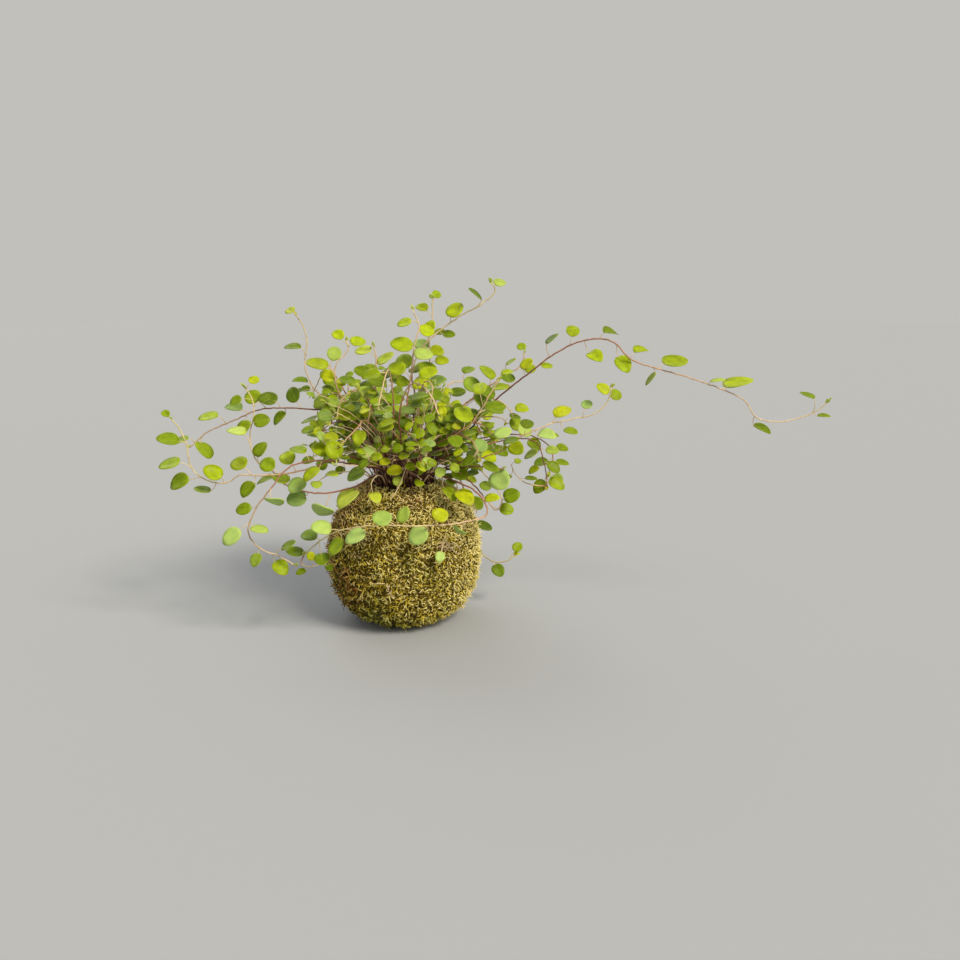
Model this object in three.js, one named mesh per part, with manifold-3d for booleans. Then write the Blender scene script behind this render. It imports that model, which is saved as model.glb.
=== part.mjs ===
// A kokedama: a ball of clay soil wrapped in a sheet of moss, with a wiry creeping vine growing out of its top.
// Millimetres, +Z up. The origin is the middle of the small flat spot that the ball rests on.
// -Y is the front, and +X is the side of the longest trailing stem.
import * as THREE from "three";
import { mergeVertices } from "three/addons/utils/BufferGeometryUtils.js";
import Module from "manifold-3d";

// The ball is a superellipsoid, squarer below its middle than above. It is flat below, and open at the top,
// where the stems come out.
const BALL_RADIUS = 50;
const BALL_HALF_HEIGHT = 49.5;
const BALL_MIDDLE = 47;
const SQUARENESS_BELOW = 2.8;
const SQUARENESS_ABOVE = 2.2;
const MOSS_THICKNESS = 8;
const MOUTH_RADIUS = 20;
const SOIL_TOP = 91.5;
const FIT = 0.3;

// Low lumps of the moss: height, waves round the ball, waves up the ball, and phase
const LUMPS = [
  [0.7, 2, 1.1, 0.4],
  [0.6, 3, -1.7, 2.1],
  [0.5, 5, 2.3, 4.0],
];
const BALL_SIDES = 26;
const SOIL_SIDES = 18;
const BALL_RINGS = 13;
const LINING_RINGS = 6;

// Stems
const STEM_BASE_RADIUS = 0.85;
const STEM_TIP_RADIUS = 0.5;
const STEM_SIDES = 3;
const STEM_STEP = 11;
const STEM_DEPTH = 8;
const STEM_FREE = 3;
const HOLE_SIDES = 6;

// Leaves: the blade's outline is a circle squeezed to this share of its length, on a thin stalk
const BLADE_WIDTH = 0.86;
const BLADE_THICKNESS = 0.6;
const BLADE_FOLD = 0.16;
const BLADE_CORNERS = 7;
const STALK_LENGTH = 4.2;
const SHORTEST_STALK = 1.8;
const LONGEST_STALK = 9.5;
const STALK_WIDTH = 0.7;
const STALK_TAPER = 0.5;
const STALK_LEAST = 0.12;
const STALK_BACK = [1, 0.6, 1.3, 0.3];
const BLADE_YIELD = 0.2;
const LEAST_TILT = 14;
const MOST_TILT = 55;
const LEAF_SPACING = 21;
const BARE_LENGTH = 24;
const LEAF_TRIES = 40;
const GOLDEN_ANGLE = Math.PI * (3 - Math.sqrt(5));

// How far apart things of the plant stay
const LEAF_CLEAR = 1.3;
const STEM_CLEAR = 2.4;
const BALL_CLEAR = 3;

// Stems that show singly. at: where the stem stands in the mouth, as radius and degrees from +X.
// route: the points that it passes. until: the share of its length that bears leaves by the general rule.
// blades: the middle of each other leaf as seen from the front, x and z, the leaf's length, and for some how
// far its upper side leans to the front, in degrees.
const SHOWN_STEMS = [
  {
    name: "stem_long_right",
    at: [12, 5],
    route: [[27, 2, 112], [43, 3, 125], [60, 4, 144], [81, 4, 161], [97, 4, 173], [114, 4, 181], [127, 3, 182],
      [134, 2, 180], [144, 0, 170], [161, 0, 164], [179, 0, 159], [202, 0, 151], [217, 0, 144], [226, 0, 133],
      [239, 0, 130], [262, 0, 136], [271, 0, 143]],
    until: 0.12,
    blades: [[40, 133, 12], [47, 142, 11], [57, 148, 12], [67, 158, 11], [79, 167, 9], [92, 165, 8], [95, 182, 10, 14],
      [108, 187, 11, 32], [122, 170, 12, 32], [132, 186, 12, 17], [140, 166, 13, 40], [151, 175, 11, 20], [159, 158, 10, 17], [173, 168, 17, 20],
      [199, 157, 9, 6], [214, 155, 20, 12], [230, 125, 12, 5], [258, 147, 10, 14], [268, 134, 8, 10]],
  },
  {
    name: "stem_right_hook",
    at: [13, -35],
    route: [[22, -11, 107], [50, -14, 117], [74, -14, 123], [94, -14, 131], [107, -14, 134], [120, -14, 137],
      [128, -14, 144], [131, -14, 154]],
    until: 0.3,
    blades: [[55, 111, 11], [64, 125, 12], [72, 116, 11], [79, 131, 10], [91, 124, 12], [101, 138, 13],
      [106, 127, 9], [116, 143, 8], [125, 153, 9], [134, 149, 9]],
  },
  {
    name: "stem_right_rising",
    at: [11, 50],
    route: [[14, 17, 112], [29, 26, 129], [45, 28, 142], [65, 28, 156], [77, 28, 164], [79, 28, 172]],
    until: 0.35,
    blades: [[44, 151, 13], [52, 141, 11], [54, 159, 14], [64, 149, 13], [70, 166, 8], [83, 161, 8], [77, 176, 7]],
  },
  {
    name: "stem_right_near",
    at: [10, -75],
    route: [[16, -18, 115], [34, -26, 126], [45, -28, 134], [56, -28, 152], [61, -28, 160]],
    until: 0.55,
    blades: [[40, 139, 14], [59, 143, 13], [50, 155, 12], [66, 164, 8]],
  },
  {
    name: "stem_right_drooping",
    at: [17, 30],
    route: [[24, 17, 108], [48, 24, 113], [74, 26, 115], [88, 26, 112], [92, 24, 101], [94, 22, 91], [95, 20, 83]],
    until: 0.5,
    blades: [[80, 121, 11], [86, 106, 11], [98, 107, 9], [86, 93, 8], [99, 96, 10], [90, 82, 11], [100, 85, 12]],
  },
  {
    name: "stem_right_drooping_back",
    at: [16, 62],
    route: [[18, 30, 106], [55, 48, 112], [85, 54, 112], [98, 54, 105], [101, 52, 95], [98, 50, 85]],
    until: 0.5,
    blades: [[75, 121, 12], [88, 105, 11], [100, 113, 10], [108, 103, 9], [93, 94, 11], [108, 92, 10], [104, 81, 11]],
  },
  {
    name: "stem_right_low",
    at: [17, -48],
    route: [[24, -20, 103], [41, -27, 110], [52, -30, 113], [65, -32, 118]],
    until: 0.5,
    blades: [[47, 118, 11], [56, 106, 11], [68, 124, 10]],
  },
  {
    name: "stem_right_leafy",
    at: [17, -22],
    route: [[26, -9, 100], [40, -16, 104], [53, -20, 105], [64, -22, 104]],
    blades: [[37, 98, 11], [46, 110, 10], [62, 97, 15, 50]],
    until: 0,
  },
  {
    name: "stem_right_loop",
    at: [17.5, 4],
    route: [[26, 4, 99], [42, 4, 91], [54, 2, 78], [60, -1, 72], [64, -3, 79], [58, -1, 90], [50, 2, 98]],
    until: 0,
    blades: [[38, 99, 8], [67, 72, 10], [70, 83, 11], [53, 88, 8], [46, 101, 7]],
  },
  {
    name: "stem_across_front",
    at: [17.5, -66],
    route: [[18, -22, 101], [34, -29, 98], [49, -32, 90], [54, -38, 80], [40, -52, 78], [14, -60, 78],
      [-15, -60, 78], [-36, -52, 72], [-50, -44, 62], [-58, -42, 54]],
    until: 0,
    blades: [[31, 90, 12, 18], [41, 89, 14, 17], [57, 87, 10], [40, 70, 12, 32], [26, 84, 10], [13, 71, 13, 65], [5, 85, 11, 50],
      [-8, 82, 12, 36], [-25, 73, 13, 48], [-37, 62, 12, 40], [-44, 76, 12, 30], [-54, 67, 11], [-46, 54, 10], [-64, 56, 11]],
  },
  {
    name: "stem_behind_right",
    at: [17.5, 46],
    route: [[22, 24, 98], [34, 40, 86], [41, 43, 66], [44, 38, 46], [50, 28, 35], [58, 18, 31], [66, 14, 32],
      [74, 13, 37]],
    until: 0.6,
    blades: [[62, 25, 10], [75, 42, 8]],
  },
  {
    name: "stem_left_red",
    at: [12, 178],
    route: [[-20, 0, 112], [-37, 2, 128], [-48, 3, 136], [-65, 4, 138], [-93, 6, 137], [-109, 6, 130],
      [-126, 5, 123], [-138, 2, 113]],
    until: 0.3,
    blades: [[-52, 144, 12], [-60, 130, 11], [-70, 147, 12], [-80, 131, 11], [-86, 145, 12], [-97, 145, 12],
      [-103, 126, 11], [-110, 138, 12], [-125, 133, 13], [-129, 114, 14], [-143, 118, 11]],
  },
  {
    name: "stem_left_low",
    at: [16, -150],
    route: [[-21, -15, 106], [-36, -26, 113], [-50, -34, 108], [-66, -40, 105], [-81, -42, 104], [-95, -41, 104],
      [-101, -40, 100], [-110, -39, 99], [-120, -37, 103], [-125, -36, 109], [-127, -35, 122], [-130, -34, 130],
      [-135, -34, 137]],
    until: 0.22,
    blades: [[-47, 118, 12], [-60, 98, 12], [-66, 114, 12], [-78, 110, 12], [-89, 96, 11], [-95, 111, 12],
      [-110, 106, 12], [-118, 94, 10], [-137, 111, 13], [-133, 98, 14], [-137, 125, 13], [-139, 140, 6]],
  },
  {
    name: "stem_left_tall",
    at: [9, 140],
    route: [[-16, 12, 113], [-32, 19, 126], [-45, 21, 138], [-56, 21, 145], [-62, 21, 153], [-65, 21, 164],
      [-63, 21, 180], [-66, 21, 191], [-70, 21, 197]],
    until: 0.35,
    blades: [[-45, 149, 11], [-56, 136, 11], [-68, 154, 10], [-71, 146, 9], [-72, 176, 11, 22], [-73, 199, 8, 30]],
  },
  {
    name: "stem_left_short",
    at: [6, 185],
    route: [[-13, -2, 114], [-25, -3, 134], [-36, -3, 144], [-41, -3, 154], [-41, -2, 166], [-33, 0, 176],
      [-34, 0, 182]],
    until: 0.4,
    blades: [[-28, 146, 11], [-44, 140, 11, 45], [-34, 157, 10], [-52, 168, 14, 16], [-46, 160, 11, 45], [-27, 181, 10, 36],
      [-39, 185, 9, 45]],
  },
  {
    name: "stem_middle_tall",
    at: [10, 105],
    route: [[-5, 16, 112], [-11, 24, 124], [-18, 28, 141], [-21, 28, 153], [-19, 28, 169], [-21, 28, 177]],
    until: 0.5,
    blades: [[-27, 150, 11], [-13, 157, 13], [-28, 160, 12], [-28, 173, 12, 22], [-13, 168, 13, 30]],
  },
  {
    name: "stem_top_right",
    at: [4, 20],
    route: [[6, 2, 110], [7, 3, 134], [8, 4, 147], [6, 4, 158], [10, 4, 172], [19, 4, 183], [35, 4, 195],
      [51, 4, 204], [59, 4, 212], [56, 4, 217]],
    until: 0.4,
    blades: [[16, 151, 12], [-3, 155, 12], [16, 164, 12], [1, 168, 13], [22, 175, 10], [18, 189, 10], [34, 200, 12, 40],
      [30, 185, 8, 40], [46, 208, 11, 32], [62, 217, 8]],
  },
  {
    name: "stem_top_front",
    at: [4.5, -70],
    route: [[2, -7, 116], [4, -8, 145], [7, -8, 163], [9, -8, 179], [12, -8, 191], [8, -8, 201]],
    until: 0.4,
    blades: [[-5, 146, 12], [12, 155, 10], [-2, 165, 12], [3, 180, 14], [15, 174, 12], [17, 188, 10, 45], [3, 193, 9]],
  },
  {
    name: "stem_top_back",
    at: [9, 70],
    route: [[6, 13, 112], [9, 17, 129], [14, 17, 149], [17, 17, 168], [17, 17, 187], [19, 17, 195], [19, 17, 207]],
    until: 0.4,
    blades: [[22, 154, 12], [9, 163, 12], [25, 168, 9], [11, 178, 12], [24, 186, 8], [12, 201, 9, 38], [22, 210, 7]],
  },
  {
    name: "stem_left_climbing",
    at: [17, -132],
    route: [[-16, -21, 99], [-27, -33, 95], [-44, -41, 93], [-58, -39, 94], [-70, -33, 97], [-79, -28, 105],
      [-88, -22, 108], [-93, -18, 118], [-93, -17, 127], [-90, -16, 139], [-92, -14, 148], [-96, -14, 154]],
    until: 0,
    blades: [[-31, 88, 16, 27], [-44, 79, 16, 32], [-55, 77, 11], [-62, 89, 12], [-73, 102, 11],
      [-83, 98, 12], [-85, 116, 11], [-102, 127, 13], [-85, 134, 10], [-84, 147, 8], [-101, 146, 8], [-90, 158, 7]],
  },
  {
    name: "stem_left_hanging",
    at: [16, -112],
    route: [[-10, -24, 103], [-28, -36, 110], [-46, -46, 114], [-62, -49, 111], [-73, -51, 99], [-83, -51, 86],
      [-89, -49, 70], [-82, -48, 60], [-73, -47, 56], [-61, -50, 50]],
    until: 0.15,
    blades: [[-26, 103, 12], [-38, 119, 12], [-50, 106, 12], [-58, 120, 11], [-76, 90, 13, 30], [-91, 85, 10],
      [-98, 69, 13, 60], [-83, 74, 11, 20], [-85, 54, 9], [-71, 48, 11], [-65, 63, 10]],
  },
];

// Stems of the thicket between them, spread by the golden angle
const THICKET_COUNT = 22;
const THICKET_SEED = 20;
const THICKET_TRIES = 60;

const wasm = await Module();
wasm.setup();

// Numbers from 0 to 1 that are the same on each run
function makeRandom(seed) {
  let state = seed >>> 0;
  return () => {
    state = (Math.imul(state, 1664525) + 1013904223) >>> 0;
    return state / 4294967296;
  };
}

function toSolid(geometry) {
  geometry.deleteAttribute("normal");
  geometry.deleteAttribute("uv");
  const merged = mergeVertices(geometry, 1e-4);
  return new wasm.Manifold(
    new wasm.Mesh({
      numProp: 3,
      vertProperties: new Float32Array(merged.attributes.position.array),
      triVerts: new Uint32Array(merged.index.array),
    }),
  );
}

function toGeometry(solid) {
  const mesh = solid.getMesh();
  const geometry = new THREE.BufferGeometry();
  geometry.setAttribute("position", new THREE.BufferAttribute(mesh.vertProperties, 3));
  geometry.setIndex(new THREE.BufferAttribute(mesh.triVerts, 1));
  geometry.computeVertexNormals();
  return geometry;
}

// The superellipse that the ball and its lining share. inset is how far inside the ball's surface it lies.
function radiusAt(height, inset) {
  const power = height < BALL_MIDDLE ? SQUARENESS_BELOW : SQUARENESS_ABOVE;
  const share = Math.abs((height - BALL_MIDDLE) / (BALL_HALF_HEIGHT - inset));
  if (share >= 1) return 0;
  return (BALL_RADIUS - inset) * Math.pow(1 - Math.pow(share, power), 1 / power);
}

// The height of the upper side at a radius
function heightAt(radius, inset) {
  const share = Math.pow(radius / (BALL_RADIUS - inset), SQUARENESS_ABOVE);
  return BALL_MIDDLE + (BALL_HALF_HEIGHT - inset) * Math.pow(1 - share, 1 / SQUARENESS_ABOVE);
}

// How many times larger the ball would have to be for its surface to pass through a point
function sizeAt(wide, tall, inset) {
  const power = tall < 0 ? SQUARENESS_BELOW : SQUARENESS_ABOVE;
  const width = Math.pow(Math.abs(wide) / (BALL_RADIUS - inset), power);
  const height = Math.pow(Math.abs(tall) / (BALL_HALF_HEIGHT - inset), power);
  return Math.pow(width + height, 1 / power);
}

// Points of the ball's outline from the height low to the height high, evenly turned about its middle
function outline(inset, low, high, rings) {
  const angleOf = (height) => Math.atan2(height - BALL_MIDDLE, radiusAt(height, inset));
  const [from, to] = [angleOf(low), angleOf(high)];
  const turn = (angle) => {
    const size = sizeAt(Math.cos(angle), Math.sin(angle), inset);
    return new THREE.Vector2(Math.cos(angle) / size, BALL_MIDDLE + Math.sin(angle) / size);
  };
  return Array.from({ length: rings + 1 }, (_, i) => turn(from + ((to - from) * i) / rings));
}

function lathe(profile, sides) {
  return new THREE.LatheGeometry(profile, sides).rotateX(Math.PI / 2);
}

// Swells the ball's outer side into low lumps, and leaves the flat spot, the mouth and the lining as they are
function addLumps(geometry) {
  const positions = geometry.attributes.position;
  const point = new THREE.Vector3();
  for (let i = 0; i < positions.count; i++) {
    point.fromBufferAttribute(positions, i);
    const radius = Math.hypot(point.x, point.y);
    const share = (point.z - 1) / (heightAt(MOUTH_RADIUS, 0) - 2);
    if (radius < radiusAt(point.z, MOSS_THICKNESS / 2) || share <= 0 || share >= 1) continue;
    const around = Math.atan2(point.y, point.x);
    const up = (share - 0.5) * Math.PI;
    const lump = LUMPS.reduce(
      (sum, [height, round, rise, phase]) => sum + height * Math.sin(round * around + rise * up + phase),
      0,
    );
    const grown = 1 + (lump * Math.cos(up)) / radius;
    positions.setXYZ(i, point.x * grown, point.y * grown, point.z);
  }
  return geometry;
}

function makeMossSheet() {
  const top = heightAt(MOUTH_RADIUS, 0);
  const innerTop = heightAt(MOUTH_RADIUS, MOSS_THICKNESS);
  const innerFloor = BALL_MIDDLE - BALL_HALF_HEIGHT + MOSS_THICKNESS;
  const outside = outline(0, 0, top, BALL_RINGS);
  const lining = outline(MOSS_THICKNESS, innerFloor + 0.01, innerTop, LINING_RINGS).reverse();
  lining[lining.length - 1].set(0, innerFloor);
  return toSolid(addLumps(lathe([new THREE.Vector2(0, 0), ...outside, ...lining], BALL_SIDES)));
}

function makeSoilCore(stems) {
  const inset = MOSS_THICKNESS + FIT;
  const neck = MOUTH_RADIUS - FIT;
  const floor = BALL_MIDDLE - BALL_HALF_HEIGHT + inset;
  const side = outline(inset, floor + 0.01, heightAt(neck, inset), LINING_RINGS);
  side[0].set(0, floor);
  const profile = [...side, new THREE.Vector2(neck, SOIL_TOP), new THREE.Vector2(0, SOIL_TOP)];
  let soil = toSolid(lathe(profile, SOIL_SIDES));
  const radius = STEM_BASE_RADIUS + FIT;
  for (const stem of stems) {
    const hole = new THREE.CylinderGeometry(radius, radius, 2 * (STEM_DEPTH + FIT), HOLE_SIDES);
    hole.rotateX(Math.PI / 2).translate(stem.foot.x, stem.foot.y, SOIL_TOP);
    soil = soil.subtract(toSolid(hole));
  }
  return soil;
}

// A stem: straight in its hole, then curved along its route. It has the middles of the rings that it is
// built on, and points about STEM_CLEAR apart to measure distances with.
function newStem(name, foot, { route, until = 1, blades = [] }) {
  const bottom = new THREE.Vector3(foot.x, foot.y, SOIL_TOP - STEM_DEPTH);
  const mouth = new THREE.Vector3(foot.x, foot.y, SOIL_TOP + STEM_FREE);
  const points = [mouth, ...route.map((p) => new THREE.Vector3(...p))];
  const curve = new THREE.CatmullRomCurve3(points, false, "centripetal");
  const length = curve.getLength();
  const steps = Math.max(5, Math.round(length / STEM_STEP));
  const rings = [bottom, ...Array.from({ length: steps + 1 }, (_, i) => curve.getPointAt(i / steps))];
  const stem = { name, foot, length, rings, until, blades };
  const count = Math.ceil(length / STEM_CLEAR);
  stem.line = Array.from({ length: count + 1 }, (_, i) => pointOn(stem, i / count));
  return stem;
}

// The point of a stem's middle at a share of its free length, on the straight piece between two rings
function pointOn(stem, share) {
  const place = 1 + share * (stem.rings.length - 2);
  const ring = Math.min(Math.floor(place), stem.rings.length - 2);
  return stem.rings[ring].clone().lerp(stem.rings[ring + 1], place - ring);
}

function directionOf(stem, ring) {
  const from = stem.rings[Math.max(0, ring - 1)];
  const to = stem.rings[ring === 0 ? 1 : Math.min(ring + 1, stem.rings.length - 1)];
  return to.clone().sub(from).normalize();
}

function footAt(radius, degrees) {
  const angle = THREE.MathUtils.degToRad(degrees);
  return new THREE.Vector2(radius * Math.cos(angle), radius * Math.sin(angle));
}

// How far a point stands off the ball's surface, roughly, in millimetres. It is negative inside.
function offBall(point) {
  return (sizeAt(Math.hypot(point.x, point.y), point.z - BALL_MIDDLE, 0) - 1) * BALL_RADIUS;
}

function stemsAreClear(stem, others) {
  const rising = stem.line.filter((p) => p.z > SOIL_TOP + 2 * STEM_FREE);
  if (rising.some((p) => Math.hypot(p.x, p.y) > MOUTH_RADIUS && offBall(p) < BALL_CLEAR)) return false;
  return others.every(
    (other) =>
      stem.foot.distanceTo(other.foot) > STEM_CLEAR * 1.25 &&
      stem.line.every((p) => other.line.every((q) => p.distanceTo(q) > STEM_CLEAR)),
  );
}

// A stem of the thicket rises from the mouth, leans out, and arches over.
// Those at the back reach further, and those at the front stay short, so that the ball shows.
function thicketRoute(azimuth, footRadius, random) {
  const back = Math.max(0, Math.sin(azimuth));
  const front = Math.max(0, -Math.sin(azimuth));
  const reach = 34 + 46 * back - 8 * front + 26 * random();
  const rise = 16 + 56 * random() * (1 - 0.35 * back);
  const droop = 26 * random() * (0.4 + back);
  const bend = (random() - 0.5) * 0.9;
  const wobble = () => (random() - 0.5) * 7;
  const shares = [0.12, 0.34, 0.58, 0.82, 1];
  const heights = [0.3, 0.72, 1, 0.98, 0.8];
  return shares.map((share, i) => {
    const angle = azimuth + bend * share;
    const radius = footRadius + reach * share;
    const sag = droop * Math.pow(share, 3);
    return [
      radius * Math.cos(angle) + (i ? wobble() : 0),
      radius * Math.sin(angle) + (i ? wobble() : 0),
      SOIL_TOP + 8 + rise * heights[i] - sag,
    ];
  });
}

function growStems() {
  const stems = SHOWN_STEMS.map((shown) => newStem(shown.name, footAt(...shown.at), shown));
  const random = makeRandom(THICKET_SEED);
  for (let i = 0; i < THICKET_COUNT; i++) {
    for (let attempt = 0; attempt < THICKET_TRIES; attempt++) {
      const azimuth = i * GOLDEN_ANGLE + (random() - 0.5) * 1.2;
      const footRadius = 4 + 13.5 * Math.sqrt(random());
      const foot = footAt(footRadius, THREE.MathUtils.radToDeg(azimuth));
      const number = String(i + 1).padStart(2, "0");
      const route = thicketRoute(azimuth, footRadius, random);
      const stem = newStem("stem_thicket_" + number, foot, { route });
      if (stemsAreClear(stem, stems)) {
        stems.push(stem);
        break;
      }
    }
  }
  return stems;
}

// Two directions across a stem: one to the front, and one upwards or, on a rising stem, outwards
function across(tangent) {
  const front = new THREE.Vector3(0, -1, 0).addScaledVector(tangent, tangent.y).normalize();
  const up = new THREE.Vector3().crossVectors(tangent, front);
  if (up.z < 0) up.negate();
  return { front, up };
}

// A leaf from its stalk's root on the stem, its blade's middle, its length and the slant of its upper side.
// The blade is bent off its stalk, so that it can lie flat above a stem.
function newLeaf(root, middle, length, slant) {
  const towards = middle.clone().sub(root).normalize();
  const normal = slant.clone().addScaledVector(towards, -slant.dot(towards) * BLADE_YIELD).normalize();
  const along = towards.clone().addScaledVector(normal, -towards.dot(normal)).normalize();
  const side = new THREE.Vector3().crossVectors(along, normal);
  const base = middle.clone().addScaledVector(along, -length / 2);
  return { root, base, middle, along, side, normal, length };
}

// A leaf by the general rule: its stalk leans forward along the stem, and stands out at an angle round it
function usualLeaf(stem, share, around, length, slant) {
  const root = pointOn(stem, share);
  const tangent = directionOf(stem, Math.round(1 + share * (stem.rings.length - 2)));
  const { front, up } = across(tangent);
  const stalk = tangent
    .clone()
    .multiplyScalar(0.55)
    .addScaledVector(front, Math.cos(around))
    .addScaledVector(up, Math.sin(around))
    .normalize();
  const middle = root.clone().addScaledVector(stalk, (STALK_LENGTH * (length + 6)) / 18 + length / 2);
  return newLeaf(root, middle, length, slant);
}

// A leaf whose middle is seen at x and z. Its stalk starts on the stem a little behind the part that is
// nearest to it: back is how far, as a share of half the blade.
function placedLeaf(stem, x, z, back, depth, length, slant) {
  const seen = (p) => Math.hypot(p.x - x, p.z - z);
  const near = stem.line.reduce((best, p, i) => (i > 3 && seen(p) < seen(stem.line[best]) ? i : best), 3);
  const root = stem.line[Math.max(1, near - Math.round((back * length) / 2 / STEM_CLEAR))];
  return newLeaf(root, new THREE.Vector3(x, root.y + depth, z), length, slant);
}

function rimOf(leaf) {
  const points = [leaf.middle, leaf.base.clone().lerp(leaf.root, 0.4)];
  for (let i = 0; i < 8; i++) {
    const angle = (i * Math.PI) / 4;
    points.push(
      leaf.middle
        .clone()
        .addScaledVector(leaf.along, (Math.cos(angle) * leaf.length) / 2)
        .addScaledVector(leaf.side, (Math.sin(angle) * leaf.length * BLADE_WIDTH) / 2),
    );
  }
  return points;
}

function distanceToBlade(point, leaf) {
  const off = point.clone().sub(leaf.middle);
  const height = off.dot(leaf.normal);
  const beyond = Math.sqrt(Math.max(0, off.lengthSq() - height * height)) - leaf.length / 2;
  return Math.hypot(height, Math.max(0, beyond));
}

// A leaf is clear if its stalk has a fair length and meets the blade at its edge, and if it stands off the
// ball, the stems and the other leaves
function leafIsClear(leaf, stem, stems, leaves) {
  const stalk = leaf.base.clone().sub(leaf.root);
  if (stalk.length() < SHORTEST_STALK || stalk.length() > LONGEST_STALK) return false;
  if (stalk.dot(leaf.along) < STALK_LEAST * stalk.length()) return false;
  if (leaf.rim.some((p) => offBall(p) < BALL_CLEAR)) return false;
  for (const other of stems) {
    const room = other === stem ? STEM_BASE_RADIUS : LEAF_CLEAR + STEM_BASE_RADIUS;
    for (const p of other.line) {
      if (distanceToBlade(p, leaf) < room) return false;
      if (other !== stem && p.distanceTo(leaf.rim[1]) < room) return false;
    }
  }
  return leaves.every(
    (other) =>
      leaf.rim.every((p) => distanceToBlade(p, other) > LEAF_CLEAR) &&
      other.rim.every((p) => distanceToBlade(p, leaf) > LEAF_CLEAR),
  );
}

// The leaves of a stem by the general rule: alternate, mature in the middle and small at the tip
function usualLeaves(stem) {
  const from = BARE_LENGTH / stem.length;
  const count = Math.max(0, Math.round(((stem.until - from) * stem.length) / LEAF_SPACING));
  return Array.from({ length: count }, (_, i) => {
    const share = Math.min(from + ((stem.until - from) * (i + 0.8)) / count, 0.99);
    const degrees = (i % 2 ? -1 : 1) * 85 + ((i * 31) % 5) * 9 - 18;
    const length = 11.5 - 4 * Math.pow(share, 4) + ((i * 7) % 3) - 1;
    return (attempt, slant) => {
      const around = THREE.MathUtils.degToRad(degrees) + attempt * GOLDEN_ANGLE;
      return usualLeaf(stem, share, around, length, slant);
    };
  });
}

// The leaves of a stem that have a place of their own. Where one is in the way of another, it gives way a little.
function placedLeaves(stem) {
  return stem.blades.map(([x, z, length], i) => (attempt, slant) => {
    const turn = attempt * GOLDEN_ANGLE;
    const aside = Math.min(3.5, turn / 9);
    const depth = (i % 2 ? 1 : -1) * (1 + length / 8 + turn / 20) * Math.cos(turn);
    const [right, up] = [x + aside * Math.cos(1.7 * turn), z + aside * Math.sin(1.7 * turn)];
    return placedLeaf(stem, right, up, STALK_BACK[attempt % STALK_BACK.length], depth, length, slant);
  });
}

// Turns each leaf about until it is clear of everything, and leaves it out if it never is
function growLeaves(stems) {
  const random = makeRandom(THICKET_SEED + 1);
  const leaves = [];
  const grow = (stem, makeLeaf, tilt) => {
    const aside = 0.9 * (random() - 0.5);
    const lean = THREE.MathUtils.degToRad(tilt ?? THREE.MathUtils.lerp(LEAST_TILT, MOST_TILT, random()));
    const slant = new THREE.Vector3(aside, -Math.sin(lean), Math.cos(lean));
    for (let attempt = 0; attempt < LEAF_TRIES; attempt++) {
      const leaf = makeLeaf(attempt, slant.clone().normalize());
      leaf.rim = rimOf(leaf);
      if (leafIsClear(leaf, stem, stems, leaves)) {
        leaf.stem = stem;
        leaves.push(leaf);
        return;
      }
      slant.x += (random() - 0.5) * 0.4;
      slant.y += (random() - 0.5) * 0.4;
    }
  };
  for (const stem of stems) placedLeaves(stem).forEach((makeLeaf, i) => grow(stem, makeLeaf, stem.blades[i][3]));
  for (const stem of stems) usualLeaves(stem).forEach((makeLeaf) => grow(stem, makeLeaf));
  return leaves;
}

// A cylinder bent along the stem's curve, thinner towards the tip
function stemSolid(stem) {
  const steps = stem.rings.length - 1;
  const geometry = new THREE.CylinderGeometry(STEM_TIP_RADIUS, STEM_BASE_RADIUS, 1, STEM_SIDES, steps);
  const normal = new THREE.Vector3(1, 0, 0);
  const frames = stem.rings.map((_, ring) => {
    const direction = directionOf(stem, ring);
    normal.addScaledVector(direction, -normal.dot(direction)).normalize();
    return [normal.clone(), new THREE.Vector3().crossVectors(direction, normal)];
  });
  const positions = geometry.attributes.position;
  const point = new THREE.Vector3();
  for (let i = 0; i < positions.count; i++) {
    point.fromBufferAttribute(positions, i);
    const ring = Math.round((point.y + 0.5) * steps);
    const moved = stem.rings[ring]
      .clone()
      .addScaledVector(frames[ring][0], -point.x)
      .addScaledVector(frames[ring][1], point.z);
    positions.setXYZ(i, moved.x, moved.y, moved.z);
  }
  return toSolid(geometry);
}

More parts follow.
